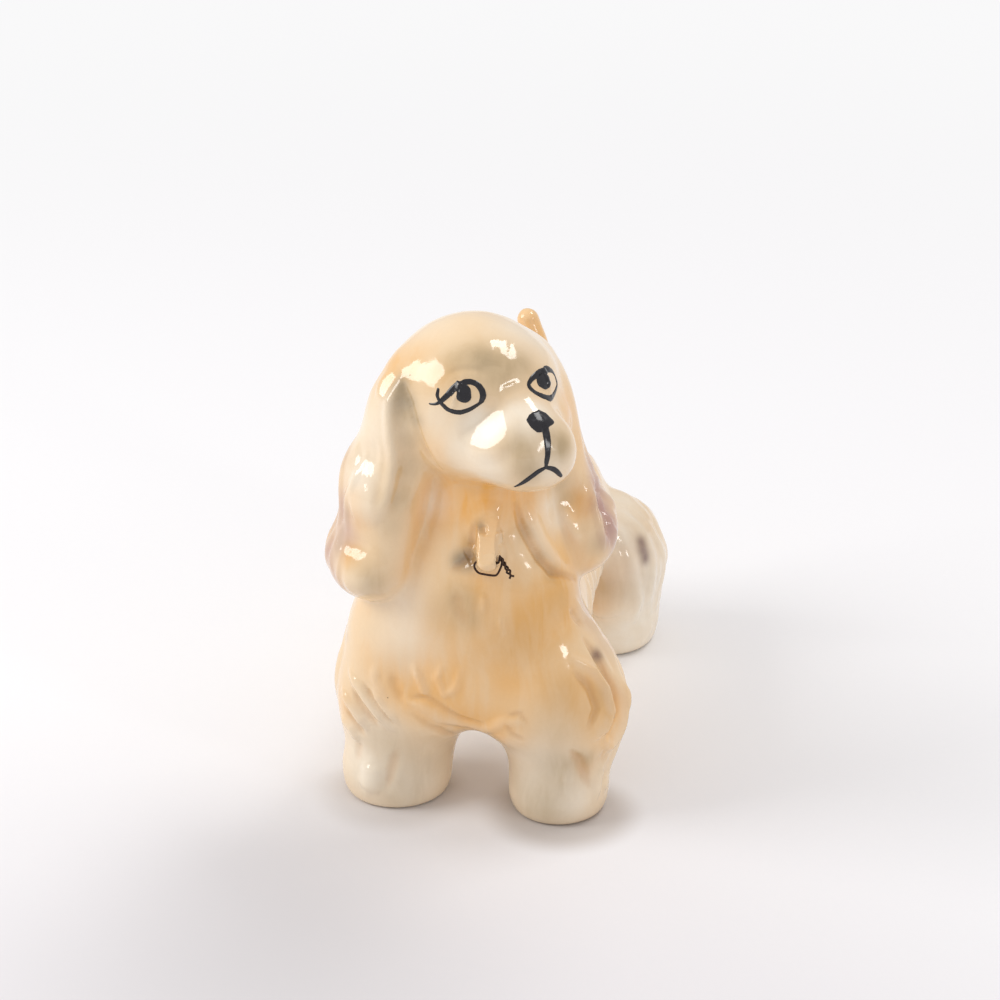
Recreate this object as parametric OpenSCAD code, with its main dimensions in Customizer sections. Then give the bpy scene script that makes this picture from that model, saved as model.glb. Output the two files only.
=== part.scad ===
// Standing spaniel figurine, slip cast and glazed, with a wire ring through a lug on its chest.
// Millimetres, Z up, the dog faces -Y, +X is the dog's left, origin at the middle of the footprint.

/* [Stance] */
// Distance from the front leg centres to the hind leg centres
leg_reach = 69; // [65:1:73]
// Half the distance between the front leg centres
front_half = 14.6; // [13.8:0.2:15.4]
// Half the distance between the hind leg centres
hind_half = 12.4; // [11.6:0.2:13.2]
// Radius of the front legs
front_leg_r = 9.4; // [8.6:0.2:9.8]
// Radius of the hind legs
hind_leg_r = 8.2; // [7.6:0.2:9]
// Half width of the trunk
trunk_half = 16.5; // [14:0.5:18]

/* [Head and ears] */
// Turn of the head towards the dog's left, in degrees
head_turn = 38; // [30:1:44]
// Height of the middle of the skull
head_z = 82; // [80:0.5:83]
// Half width of the skull
skull_half = 14.9; // [14.1:0.2:15.5]
// Reach of the muzzle in front of the middle of the skull
muzzle_reach = 17.2; // [16:0.2:18]
// Depth of the ear tips' rounding centre below the middle of the skull
ear_drop = 29; // [26:0.5:31]

/* [Tail] */
// Length of the tail from its root to the middle of its rounded tip
tail_length = 25.2; // [21:0.2:27]
// Radius of the tail at its root
tail_root_r = 4.6; // [4:0.1:5]
// Radius of the tail at its tip
tail_tip_r = 1.7; // [1.4:0.1:2.2]

/* [Casting] */
// Thickness of the cast wall
wall = 3; // [2.2:0.2:3.6]
// Diameter of the drain hole in the belly
drain_d = 5; // [3.5:0.5:6]

/* [Chest lug and wire ring] */
// Width of the lug along its bore
lug_w = 3.6; // [3.2:0.2:4.4]
// Radius of the lug's tip around its bore
lug_r = 1.8; // [1.7:0.1:2]
// Diameter of the lug's bore
bore_d = 1.4; // [1.2:0.1:1.6]
// Thickness of the wire
wire_d = 0.4; // [0.3:0.02:0.5]
// Drop of the ring's lower bar below the run in the bore
ring_drop = 2.6; // [2.5:0.1:3.2]
// Length of the twisted ends of the wire
twist_length = 4.2; // [3:0.2:5]

/* [Enamel] */
// Height of the black enamel above the glaze
film = 0.25; // [0.2:0.05:0.4]
// Width of the brush strokes
stroke = 0.6; // [0.45:0.05:0.8]

/* [Hidden] */

// Steps of the nets over the castings, the head and ears, and the cavities
body_step = 3.2;
head_step = 1.8;
ear_step = 2.4;
cavity_step = 4;

// Moves the whole figure so that its box is centred on the origin
move_x = 0.5;
move_y = -3.75;

// Places along the figure
front_y = -28 + move_y;
hind_y = front_y + leg_reach;
neck_y = front_y + 3;
neck_z = 67;
head_at = [move_x - 0.5, front_y + 2, head_z];
both = [1, -1];

// Axis of the lug's bore and of the wire in it
bore_at = [move_x + 3.5, front_y - 14.5, 56.4];
wire_r = wire_d/2;
seat = 0.05;
pivot_at = bore_at - [0, 0, bore_d/2 - wire_r - seat];

function ones(v) = [for (x = v) 1];

// Point p, given in the frame of the figure, in the frame of the head
function in_head(p) = let (q = p - head_at, c = cos(head_turn), s = sin(head_turn))
  [q[0]*c + q[1]*s, q[1]*c - q[0]*s, q[2]];

// An egg is its centre and the reciprocals of its three radii
function egg(c, r) = [c[0], c[1], c[2], 1/r[0], 1/r[1], 1/r[2]];

// A limb is its start, its direction, its length, its radius at the start and its taper
function limb(a, b, ra, rb) = let (d = b - a, l = norm(d)) [a, d/l, l, ra, (rb - ra)/l];

// Depth of point p outside a soft union of eggs and limbs, negative inside
function soft(p, eggs, limbs, k) =
  let (e = [for (q = eggs)
         let (a = [(p[0] - q[0])*q[3], (p[1] - q[1])*q[4], (p[2] - q[2])*q[5]], n = norm(a))
         exp(n*(1 - n)/(k*norm([a[0]*q[3], a[1]*q[4], a[2]*q[5]]) + 0.000001))],
       g = [for (q = limbs)
         let (w = p - q[0], t = min(q[2], max(0, w*q[1])))
         exp((q[3] + t*q[4] - norm(w - t*q[1]))/k)])
  -k*ln((len(e) > 0 ? ones(e)*e : 0) + (len(g) > 0 ? ones(g)*g : 0) + 0.0000000001);

// Volumes of the body
body_blend = 2.2;
middle_y = (front_y + hind_y)/2;
neck_limb = limb([move_x, neck_y, 48], [move_x, neck_y, 74], 14.5, 11.5);
trunk_eggs = [
  egg([move_x, middle_y + 1, 32.5], [trunk_half - 1.5, leg_reach/2 + 1, 13.5]),
  egg([move_x, front_y + 15, 33.5], [trunk_half, 19, 15.5])];
chest_eggs = [
  egg([move_x - 0.7, front_y - 1, 42], [18.3, 13, 19]),
  egg([move_x, front_y + 9, 49], [12, 13, 11])];
rump_egg = egg([move_x, hind_y - 4, 31], [9.5, 13, 12.5]);
hollow_eggs = concat(trunk_eggs, chest_eggs, [rump_egg]);
left_x = move_x + front_half;
right_x = move_x - front_half;
// Upper arm, feathering and foot of each front leg; the right leg stands further out and is the stouter one
leg_eggs = [
  egg([left_x - 0.8, front_y, 27.5], [9.8, 11.5, 12.5]),
  egg([right_x - 0.6, front_y, 32], [10, 11.5, 14.5]),
  egg([left_x + 5.6, front_y + 1, 19.5], [5.6, 9, 9]),
  egg([right_x - 6.7, front_y + 1, 19.5], [5.8, 9, 9]),
  egg([left_x + 0.3, front_y - 1.2, 3], [front_leg_r - 1.4, 8.3, 8]),
  egg([right_x - 2, front_y - 1, 3], [front_leg_r - 0.5, 8.8, 8])];
// Bib between the front legs and the corners of the arch under it
bib_eggs = concat([egg([move_x, front_y - 3, 27], [15, 9.5, 9])],
  [for (s = both) egg([move_x + 8*s, front_y - 3, 20.5], [4.2, 8, 4.2])]);
front_eggs = concat(trunk_eggs, chest_eggs, leg_eggs, bib_eggs);
front_limbs = [neck_limb,
  limb([left_x + 0.3, front_y, 6], [left_x - 1.2, front_y, 22], front_leg_r - 1.4, front_leg_r + 0.6),
  limb([right_x - 1.6, front_y, 6], [right_x + 1.4, front_y, 22], front_leg_r - 0.4, front_leg_r + 1.4)];
hind_eggs = concat(trunk_eggs, [rump_egg],
  [for (s = both) each [
    egg([move_x + s*hind_half, hind_y - 2, 18.5], [hind_leg_r + 0.4, 14, 13.5]),
    egg([move_x + s*(hind_half - 0.6), hind_y, 3], [hind_leg_r - 0.6, 9.2, 8])]]);
hind_limbs = [for (s = both) limb([move_x + s*(hind_half - 0.4), hind_y + 1, 6],
  [move_x + s*hind_half, hind_y, 18], hind_leg_r - 0.6, hind_leg_r)];
body_field = function (p) p[2] > 71 ? 1 :
  p[1] < middle_y ? soft(p, front_eggs, front_limbs, body_blend) : soft(p, hind_eggs, hind_limbs, body_blend);

// Volumes of the head, in its own frame, with the face towards -Y
head_blend = 1.5;
neck_low = in_head([move_x, neck_y, 48]);
neck_high = in_head([move_x, neck_y, 74]);
head_eggs = concat([
    egg([-1.6, 0.5, 0.3], [skull_half, 14.9, 14.1]),
    egg([-1, -5.5, 4], [11.5, 8.5, 8]),
    egg([1.4, 4.7 - muzzle_reach, -1], [5, 8.5, 4.8]),
    egg([2.3, 1.6 - muzzle_reach, -8.3], [5.4, 6.2, 3.3]),
    egg([-4, 5.7 - muzzle_reach, -6], [5.5, 7, 5])],
  [for (s = both) each [
    egg([7*s, -6.5, -5], [6.5, 6.5, 6.5]),
    egg([1.9 + 2.8*s, -muzzle_reach, -5.2], [4.8, 5.8, 5.6])]]);
head_limbs = [limb(neck_low, neck_high, 14.5, 11.5)];
head_field = function (p) p[2] < neck_z - head_z - 3.4 ? 1 : soft(p, head_eggs, head_limbs, head_blend);

// Volumes of the ears, in the frame of the head
ear_blend = 2;
right_eggs = [
  egg([-15.3, 2.5, -5], [5, 7, 9]),
  egg([-18.6, 4.8, -17.5], [5.9, 8, 9]),
  egg([-20.7, 4.5, -ear_drop - 2.8], [6.8, 8.8, 6.6])];
right_limbs = [for (o = both) limb([-11, 2 + 2*o, 4], [-19.4, 4 + 3.2*o, -ear_drop], 4.2, 4.8)];
left_eggs = [
  egg([12.4, 0.5, -7], [4.4, 7, 10]),
  egg([17.4, -3, 0.5 - ear_drop], [6.6, 9.2, 9.1])];
left_limbs = [for (o = both) limb([9, 1 + 2*o, 4], [16.6, -3 + 3.4*o, -ear_drop], 3.8, 5.2)];

// Moves point p on to the surface where f is zero
function settle(f, p, e = 0.05) =
  let (v = f(p), g = [f(p + [e, 0, 0]) - v, f(p + [0, e, 0]) - v, f(p + [0, 0, e]) - v]/e)
  p - g*(v/max(g*g, 0.2));

// Corners of a grid cell, and its edges as pairs of corners
corner = [for (k = [0, 1]) for (j = [0, 1]) for (i = [0, 1]) [i, j, k]];
edge = [[0, 1], [2, 3], [4, 5], [6, 7], [0, 2], [1, 3], [4, 6], [5, 7], [0, 4], [1, 5], [2, 6], [3, 7]];

// Place of each number of a rising list, in a list as long as count
function ranks(rising, count) =
  [for (i = 0, r = 0; i < count; r = r + (rising[r] == i ? 1 : 0), i = i + 1) r];

// Grid cells of n points that hold both signs of val
function mixed_cells(val, n) =
  let (sy = n[0], sz = n[0]*n[1])
  [for (k = [0:n[2] - 2]) for (j = [0:n[1] - 2]) for (i = [0:n[0] - 2])
    let (a = k*sz + j*sy + i, b = val[a] < 0)
    if ((val[a + 1] < 0) != b || (val[a + sy] < 0) != b || (val[a + 1 + sy] < 0) != b ||
        (val[a + sz] < 0) != b || (val[a + 1 + sz] < 0) != b || (val[a + sy + sz] < 0) != b ||
        (val[a + 1 + sy + sz] < 0) != b) [i, j, k]];

// Values with the saddles filled whose cell face has its inside corners on one diagonal
function filled(val, n, tries = 3) =
  let (sy = n[0], sz = n[0]*n[1],
       saddles = [for (c = mixed_cells(val, n)) let (a = c*[1, sy, sz])
         for (d = [[1, sy], [sy, sz], [sz, 1]])
           let (q = [a, a + d[0], a + d[0] + d[1], a + d[1]],
                in = [for (x = q) val[x] < 0])
           if (in[0] == in[2] && in[1] == in[3] && in[0] != in[1])
             in[0] ? (val[q[1]] < val[q[3]] ? q[1] : q[3]) : (val[q[0]] < val[q[2]] ? q[0] : q[2])])
  len(saddles) == 0 || tries == 0 ? val :
    filled([for (i = [0:len(val) - 1]) len(search(i, saddles)) > 0 ? -0.01 : val[i]], n, tries - 1);

// Points and triangles of the surface where f is zero, from a grid of n points with step h from corner lo
function net(f, lo, n, h) =
  let (some = [for (k = [0:n[2] - 1]) for (j = [0:n[1] - 1]) for (i = [0:n[0] - 1]) f(lo + h*[i, j, k])],
       val = filled(some, n),
       sy = n[0], sz = n[0]*n[1], size = [1, sy, sz],
       to = [0, 1, sy, 1 + sy, sz, sz + 1, sz + sy, sz + 1 + sy],
       cells = mixed_cells(val, n),
       rank = ranks([for (c = cells) c*size], len(val)),
       points = [for (c = cells)
         let (a = c*size, v = [for (s = to) val[a + s]],
              m = [for (e = edge) let (u = v[e[0]], w = v[e[1]])
                if ((u < 0) != (w < 0)) corner[e[0]] + (corner[e[1]] - corner[e[0]])*(u/(u - w))])
         settle(f, lo + h*(c + ones(m)*m/len(m)))],
       turn = [[sy, sz], [sz, 1], [1, sy]],
       triangles = [for (c = cells) let (a = c*size, inside = val[a] < 0)
         for (d = [0:2]) if ((val[a + size[d]] < 0) != inside)
           let (u = turn[d][0], w = turn[d][1],
                q = [rank[a - u - w], rank[a - w], rank[a], rank[a - u]],
                r = inside ? [q[0], q[3], q[2], q[1]] : q)
           each (norm(points[r[0]] - points[r[2]]) <= norm(points[r[1]] - points[r[3]])
             ? [[r[0], r[1], r[2]], [r[0], r[2], r[3]]]
             : [[r[1], r[2], r[3]], [r[1], r[3], r[0]]])])
  [points, triangles];

// Solid inside the surface where f is zero, between the corners lo and hi
module skin(f, lo, hi, h) {
  mesh = net(f, lo, [for (i = [0:2]) ceil((hi[i] - lo[i])/h) + 1], h);
  polyhedron(points = mesh[0], faces = mesh[1], convexity = 10);
}

// Outside of the body with its legs run on below the ground and its neck run on upwards
module body_outside() {
  skin(body_field, [move_x - 31, front_y - 18, -7.5], [move_x + 31, hind_y + 18, 75], body_step);
}

// Hollow of one leg, from above its sole up into the cavity of the trunk
module leg_hollow(x, y, r) {
  hull() {
    translate([move_x + x, y, wall + r + 1]) sphere(r = r - wall, $fn = 16);
    translate([move_x + 0.45*x, y, 32]) sphere(r = r - wall - 1, $fn = 16);
  }
}

// Cavity of the trunk and chest, open at the neck
module body_cavity() {
  hollow = function (p) p[2] > 72 ? 1 : soft(p, hollow_eggs, [neck_limb], body_blend) + wall;
  skin(hollow, [move_x - 24, front_y - 18, 10], [move_x + 24, hind_y + 16, 78], cavity_step);
}

// Outside of the head in its own frame, grown by a film
module head_outside(grown = 0) {
  grown_head = function (p) head_field(p) - grown;
  skin(grown_head, [-19.5, -muzzle_reach - 9, neck_z - head_z - 6], [19.5, 18.5, 17.5], head_step);
}

// Cavity of the head in its own frame, open at the neck; the muzzle is cast solid
module head_cavity() {
  skull_eggs = [head_eggs[0], head_eggs[1]];
  hollow = function (p) p[2] < neck_z - head_z - 6 ? 1 : soft(p, skull_eggs, head_limbs, head_blend) + wall;
  skin(hollow, [-17, -muzzle_reach - 6, neck_z - head_z - 9], [17, 17, 15], 3.6);
}

module in_head_frame() {
  translate(head_at) rotate([0, 0, head_turn]) children();
}

module below(z) {
  translate([-100, -100, z - 100]) cube([200, 200, 100]);
}

module above(z) {
  translate([-100, -100, z]) cube([200, 200, 100]);
}

module body_casting() {
  color([0.85, 0.68, 0.46])
  resize([0, 0, 0])
  difference() {
    body_outside();
    below(0);
    above(neck_z);
    body_cavity();
    for (s = both) {
      leg_hollow(s*front_half, front_y, front_leg_r - 0.8);
      leg_hollow(s*hind_half, hind_y, hind_leg_r);
    }
    translate([move_x, middle_y, 5]) cylinder(d = drain_d, h = 25, $fn = 24);
  }
}

module head_casting() {
  color([0.92, 0.82, 0.68])
  resize([0, 0, 0])
  difference() {
    in_head_frame() head_outside();
    below(neck_z);
    in_head_frame() head_cavity();
  }
}

// One ear, trimmed to lie on the head and the body
module ear(eggs, limbs, side) {
  ear_field = function (p) soft(p, eggs, limbs, ear_blend);
  resize([0, 0, 0])
  difference() {
    in_head_frame()
      skin(ear_field, [side < 0 ? -32 : 1, -17, -ear_drop - 13], [side < 0 ? -3 : 30, 17, 13], ear_step);
    in_head_frame() head_outside();
    difference() {
      body_outside();
      above(neck_z);
    }
  }
}

module left_ear() {
  color([0.88, 0.72, 0.52]) ear(left_eggs, left_limbs, 1);
}

module right_ear() {
  color([0.88, 0.72, 0.52]) ear(right_eggs, right_limbs, -1);
}

module tail() {
  root = [move_x - 1, hind_y + 3, 43];
  lean = [-6, 2, 23.2];
  tip = root + tail_length*lean/norm(lean);
  color([0.84, 0.66, 0.44])
  resize([0, 0, 0])
  difference() {
    hull() {
      translate(root) sphere(r = tail_root_r, $fn = 20);
      translate(tip) sphere(r = tail_tip_r, $fn = 20);
    }
    body_outside();
  }
}

// Bar of circular section along X
module bar(at, r, length, fine) {
  translate(at) rotate([0, 90, 0]) cylinder(r = r, h = length, center = true, $fn = fine);
}

module chest_lug() {
  top = bore_at + [0, 4.2, 6.2];
  color([0.8, 0.66, 0.46])
  difference() {
    resize([0, 0, 0])
    difference() {
      hull() {
        bar(bore_at, lug_r, lug_w - 0.8, 32);
        bar(bore_at, lug_r - 0.4, lug_w, 32);
        bar(top, 1.4, lug_w + 0.4, 20);
        bar(bore_at + [0, 5, -0.5], lug_r, lug_w, 20);
      }
      body_outside();
    }
    bar(bore_at, bore_d/2, 20, 48);
  }
}

// Two strands wound round each other, from one at a to a blunt end at b
module twist(a, b, turns) {
  rings = 22;
  sides = 12;
  run = (b - a)/norm(b - a);
  across = cross(run, [0, 1, 0])/norm(cross(run, [0, 1, 0]));
  over = cross(run, across);
  points = [for (i = [0:rings]) for (j = [0:sides - 1])
    let (t = 360*j/sides, w = t + 360*turns*i/rings, apart = 0.85*wire_r*min(1, i/4),
         r = (apart*abs(cos(t)) + sqrt(wire_r*wire_r - pow(apart*sin(t), 2)))*(i == rings ? 0.7 : 0.97))
    a + (b - a)*i/rings + r*(cos(w)*across + sin(w)*over)];
  sides_of = [for (i = [0:rings - 1]) for (j = [0:sides - 1])
    let (k = (j + 1) % sides, m = i*sides, n = m + sides)
    each [[m + j, n + j, n + k], [m + j, n + k, m + k]]];
  caps = [[for (j = [0:sides - 1]) j], [for (j = [sides - 1:-1:0]) rings*sides + j]];
  polyhedron(points = points, faces = concat(sides_of, caps), convexity = 6);
}

// Wire of the ring: a run in the bore, two arms, a lower bar, and the twisted ends
module wire_ring() {
  bend = 0.5;
  half = lug_w/2 + 0.1 + bend;
  ends = [half, 0, -0.8];
  color([0.2, 0.18, 0.17])
  translate(pivot_at) {
    bar([0, 0, 0], wire_r, 2*(half - bend), 24);
    bar([0, 0, -ring_drop], wire_r, 2*(half - bend), 24);
    for (s = both) translate([s*half, 0, bend - ring_drop])
      cylinder(r = wire_r, h = ring_drop - 2*bend, $fn = 24);
    for (t = [0, 90, 180, 270])
      translate([(t == 0 || t == 270 ? 1 : -1)*(half - bend), 0, t < 180 ? -bend : bend - ring_drop])
        rotate([90, 0, 0]) rotate([0, 0, t])
          rotate_extrude(angle = 90, $fn = 32) translate([bend, 0]) circle(r = wire_r, $fn = 24);
    twist(ends, ends + twist_length*[2.2, -0.9, -3.2]/norm([2.2, 0.9, 3.2]), 2.5);
  }
}

// A brush stroke through points [x, z, width], as a prism through the face
module brush(points) {
  for (i = [0:len(points) - 2]) hull() for (q = [points[i], points[i + 1]])
    translate([q[0], 0, q[1]]) rotate([90, 0, 0]) cylinder(d = stroke*q[2], h = 40, $fn = 10);
}

// An outline of points [x, z], as a prism through the face
module patch(points) {
  rotate([90, 0, 0]) linear_extrude(40) polygon(points);
}

// The film of enamel where a prism meets the face
module enamel() {
  color([0.06, 0.055, 0.06])
  resize([0, 0, 0])
  in_head_frame()
  difference() {
    intersection() {
      head_outside(film);
      union() children();
    }
    head_outside();
  }
}

// Brush work of the face, in the frame of the head
module nose_shape() {
  patch([[-0.3, 2], [0.4, 2.5], [1.2, 2.75], [2.5, 2.8], [3.6, 2.2], [4.5, 1.05], [3.2, 0.95], [2.6, 0.55],
    [1.7, 0.45], [0.7, 0.55], [0, 1.2]]);
}

module mouth_shape() {
  brush([[2.3, 0.8, 1.2], [2.2, -0.5, 1.1], [2.1, -2, 0.9], [1.9, -3.4, 0.95], [1.6, -4.6, 0.75],
    [1.4, -5.7, 0.5]]);
  brush([[1.4, -5.7, 0.6], [0, -6.4, 0.75], [-1.3, -7.4, 0.75], [-2.4, -8.7, 0.6], [-3.2, -10, 0.4]]);
  brush([[1.4, -5.7, 0.6], [2.6, -6.3, 0.75], [3.6, -7.1, 0.85], [4.8, -8.6, 0.9]]);
}

module right_eye_shape() {
  brush([[-12.7, 4, 0.6], [-11.9, 5.1, 0.8], [-10.8, 6.5, 0.9], [-9.7, 7.4, 1], [-8.6, 7.8, 1],
    [-7.6, 7.8, 1], [-6.8, 7.5, 1.1], [-6.3, 6.6, 1.2], [-6.2, 5.6, 1.2], [-6.5, 4.6, 1]]);
  brush([[-12.7, 4, 0.6], [-12.3, 3.5, 0.7], [-11.7, 2.9, 0.8], [-10.4, 2.6, 0.9], [-8.5, 3.1, 0.9],
    [-6.8, 4.2, 0.8], [-6.5, 4.6, 1]]);
  brush([[-12.7, 4, 0.55], [-13.3, 3.5, 0.5], [-13.8, 3.3, 0.45]]);
  brush([[-12.7, 4, 0.55], [-12.9, 5, 0.5], [-12.6, 6.1, 0.4]]);
}

module right_pupil_shape() {
  difference() {
    brush([[-9.25, 6.4, 2.2/stroke], [-9.35, 5.6, 2.2/stroke]]);
    right_eye_shape();
  }
}

module left_eye_shape() {
  brush([[2.5, 6.2, 0.9], [3.4, 6.8, 1], [4.7, 7.3, 1.1], [6, 7.4, 1.2], [7.1, 7.1, 1.1], [8, 6.2, 0.7],
    [8.5, 5.3, 0.5], [9.2, 4.2, 0.45], [10.2, 2.9, 0.55], [9.6, 2.4, 0.7], [8.5, 2.1, 0.8], [6.9, 2.3, 0.9],
    [5.8, 3.1, 0.8], [4.4, 4, 0.7], [3.2, 5, 0.7], [2.5, 6.2, 0.9]]);
}

module left_pupil_shape() {
  difference() {
    brush([[5.7, 6.1, 2.4/stroke], [6.5, 5.6, 2.3/stroke]]);
    left_eye_shape();
  }
}

module nose_enamel() {
  enamel() nose_shape();
}

module mouth_enamel() {
  enamel() difference() {
    mouth_shape();
    nose_shape();
  }
}

module left_eye_enamel() {
  enamel() left_eye_shape();
}

module left_pupil_enamel() {
  enamel() left_pupil_shape();
}

module right_eye_enamel() {
  enamel() right_eye_shape();
}

module right_pupil_enamel() {
  enamel() right_pupil_shape();
}

body_casting();
head_casting();
left_ear();
right_ear();
tail();
chest_lug();
wire_ring();
nose_enamel();
mouth_enamel();
left_eye_enamel();
left_pupil_enamel();
right_eye_enamel();
right_pupil_enamel();
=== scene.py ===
"""Standing spaniel figurine: glazed castings, brushed enamel, a wire ring and a plain stage."""

import contextlib
import math

import bmesh
import bpy
import numpy as np
from bpy.props import FloatProperty, FloatVectorProperty, PointerProperty
from mathutils import Matrix, Vector
from mathutils.bvhtree import BVHTree


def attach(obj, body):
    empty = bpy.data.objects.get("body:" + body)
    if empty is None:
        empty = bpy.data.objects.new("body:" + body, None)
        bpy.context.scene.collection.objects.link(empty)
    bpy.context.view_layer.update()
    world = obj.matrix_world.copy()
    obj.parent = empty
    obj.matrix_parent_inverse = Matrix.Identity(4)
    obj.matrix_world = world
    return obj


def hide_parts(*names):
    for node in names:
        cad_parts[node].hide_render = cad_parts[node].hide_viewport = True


bl_info = {
    "name": "Spaniel figurine",
    "version": (1, 0, 0),
    "blender": (4, 5, 0),
    "location": "View3D > Sidebar > Figurine",
    "description": "Builds the glazed castings, the brushed face, the wire ring and the stage",
    "category": "Object",
}

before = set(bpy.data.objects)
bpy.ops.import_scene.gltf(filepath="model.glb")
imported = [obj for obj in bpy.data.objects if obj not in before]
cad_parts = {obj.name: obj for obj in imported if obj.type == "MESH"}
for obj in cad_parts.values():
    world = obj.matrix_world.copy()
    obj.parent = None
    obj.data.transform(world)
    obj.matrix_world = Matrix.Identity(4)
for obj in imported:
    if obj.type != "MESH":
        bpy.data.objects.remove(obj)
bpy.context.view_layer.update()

# Lengths in the tables below are millimetres in the frame of the part
MM = 0.001
FIGURE = "figure"
RING = "ring"


def srgb(red, green, blue):
    """Linear colour of a display colour given from 0 to 255."""
    shares = [value / 255 for value in (red, green, blue)]
    return tuple(s / 12.92 if s <= 0.04045 else ((s + 0.055) / 1.055) ** 2.4 for s in shares)


def tone(name, description, red, green, blue):
    """A colour setting, with a display colour from 0 to 255 as its default."""
    return FloatVectorProperty(name=name, description=description, subtype="COLOR", size=3, min=0, max=1,
                               default=srgb(red, green, blue))


def metres(name, description, low, high, default):
    """A setting in metres."""
    return FloatProperty(name=name, description=description, unit="LENGTH", precision=6, min=low, max=high,
                         default=default)


# Places along the figure
MIDDLE_X = 0.5
FRONT_Y = -31.75
HIND_Y = 37.25
MIDDLE_Y = 2.75
NECK_Y = -28.75

# Place and turn of the head
HEAD_AT = np.array([0.0, -29.75, 82.0])
HEAD_TURN = math.radians(38)

# Bore of the chest lug and the wire's axis in it
BORE_AT = np.array([4.9, -46.25, 56.4])
BORE_R = 0.7
BORE_HALF = 1.45
BORE_MOUTH = 1.4
BORE_REACH = 6
BORE_EDGE = 0.15
PIVOT_AT = np.array([4.0, -46.25, 55.95])

# Drain hole in the belly
DRAIN_R = 2.5
DRAIN_WALL = 3.0
DRAIN_DEPTH = 14.0
BELLY_LOW = 10
BELLY_HIGH = 30
# Rise of each ring of the hole's wall, and how much wider it is than the one below
DRAIN_RINGS = ((0.4, 0.93), (DRAIN_WALL, 1.0), (0.5, 2.2), (DRAIN_DEPTH, 1.0))

# Softness of the joins inside each casting and between the castings
BODY_BLEND = 2.2
HEAD_BLEND = 1.5
EAR_BLEND = 2.0
LUG_BLEND = 0.5
NECK_JOIN = 1.6
EAR_JOIN = 0.9
TAIL_JOIN = 1.6
LUG_JOIN = 1.1
SOLE_EDGE = 0.4

# Depth that stands for far outside and for solid clay away from the bore
FAR_OUTSIDE = 12.0
NO_BORE = -9.0

# Feeling for the surface: the step that its slope is taken over, the least slope and the longest move
SLOPE_STEP = 0.02
LEAST_SLOPE = 0.2
LONGEST_MOVE = 1.5

# Lines cast on the surface: their steps, and the share of the depth that each step goes
CAST_STEPS = 70
CAST_PACE = 0.75


def both_sides(rows):
    """Rows of an egg or limb given on the left of the middle plane, and their twins on the right."""
    twins = []
    for row in rows:
        for side in (1, -1):
            twin = list(row)
            twin[0] = MIDDLE_X + side * row[0]
            if len(row) == 8:
                twin[3] = MIDDLE_X + side * row[3]
            twins.append(tuple(twin))
    return twins


# Eggs are a centre and three radii, limbs two ends and their radii
BODY_EGGS = [
    (MIDDLE_X, MIDDLE_Y + 1, 32.5, 15, 35.5, 13.5),
    (MIDDLE_X, FRONT_Y + 15, 33.5, 16.5, 19, 15.5),
    (MIDDLE_X - 0.7, FRONT_Y - 1, 42, 18.3, 13, 19),
    (MIDDLE_X, FRONT_Y + 9, 49, 12, 13, 11),
    (MIDDLE_X, FRONT_Y - 3, 27, 15, 9.5, 9),
    (MIDDLE_X, HIND_Y - 4, 31, 9.5, 13, 12.5),
    (MIDDLE_X + 13.8, FRONT_Y, 27.5, 9.8, 11.5, 12.5),
    (MIDDLE_X - 15.2, FRONT_Y, 32, 10, 11.5, 14.5),
    (MIDDLE_X + 20.2, FRONT_Y + 1, 19.5, 5.6, 9, 9),
    (MIDDLE_X - 21.3, FRONT_Y + 1, 19.5, 5.8, 9, 9),
    (MIDDLE_X + 14.9, FRONT_Y - 1.2, 3, 8, 8.3, 8),
    (MIDDLE_X - 16.6, FRONT_Y - 1, 3, 8.9, 8.8, 8),
] + both_sides([
    (8, FRONT_Y - 3, 20.5, 4.2, 8, 4.2),
    (12.4, HIND_Y - 2, 18.5, 8.6, 14, 13.5),
    (11.8, HIND_Y, 3, 7.6, 9.2, 8),
])
BODY_LIMBS = [
    (MIDDLE_X, NECK_Y, 48, MIDDLE_X, NECK_Y, 74, 14.5, 11.5),
    (MIDDLE_X + 14.9, FRONT_Y, 6, MIDDLE_X + 13.4, FRONT_Y, 22, 8, 10),
    (MIDDLE_X - 16.2, FRONT_Y, 6, MIDDLE_X - 13.2, FRONT_Y, 22, 9, 10.8),
] + both_sides([(12, HIND_Y + 1, 6, 12.4, HIND_Y, 18, 7.6, 8.2)])
HEAD_EGGS = [
    (-1.6, 0.5, 0.3, 14.9, 14.9, 14.1),
    (-1, -5.5, 4, 11.5, 8.5, 8),
    (1.4, -12.5, -1, 5, 8.5, 4.8),
    (2.3, -15.6, -8.3, 5.4, 6.2, 3.3),
    (-4, -11.5, -6, 5.5, 7, 5),
    (7, -6.5, -5, 6.5, 6.5, 6.5),
    (-7, -6.5, -5, 6.5, 6.5, 6.5),
    (4.7, -17.2, -5.2, 4.8, 5.8, 5.6),
    (-0.9, -17.2, -5.2, 4.8, 5.8, 5.6),
]
RIGHT_EAR_EGGS = [
    (-15.3, 2.5, -5, 5, 7, 9),
    (-18.6, 4.8, -17.5, 5.9, 8, 9),
    (-20.7, 4.5, -31.8, 6.8, 8.8, 6.6),
]
RIGHT_EAR_LIMBS = [(-11, 4, 4, -19.4, 7.2, -29, 4.2, 4.8), (-11, 0, 4, -19.4, 0.8, -29, 4.2, 4.8)]
LEFT_EAR_EGGS = [(12.4, 0.5, -7, 4.4, 7, 10), (17.4, -3, -28.5, 6.6, 9.2, 9.1)]
LEFT_EAR_LIMBS = [(9, 3, 4, 16.6, 0.4, -29, 3.8, 5.2), (9, -1, 4, 16.6, -6.4, -29, 3.8, 5.2)]
TAIL_LIMBS = [(-0.5, 40.25, 43, -6.79, 42.35, 66.9, 4.6, 2.1)]
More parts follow.
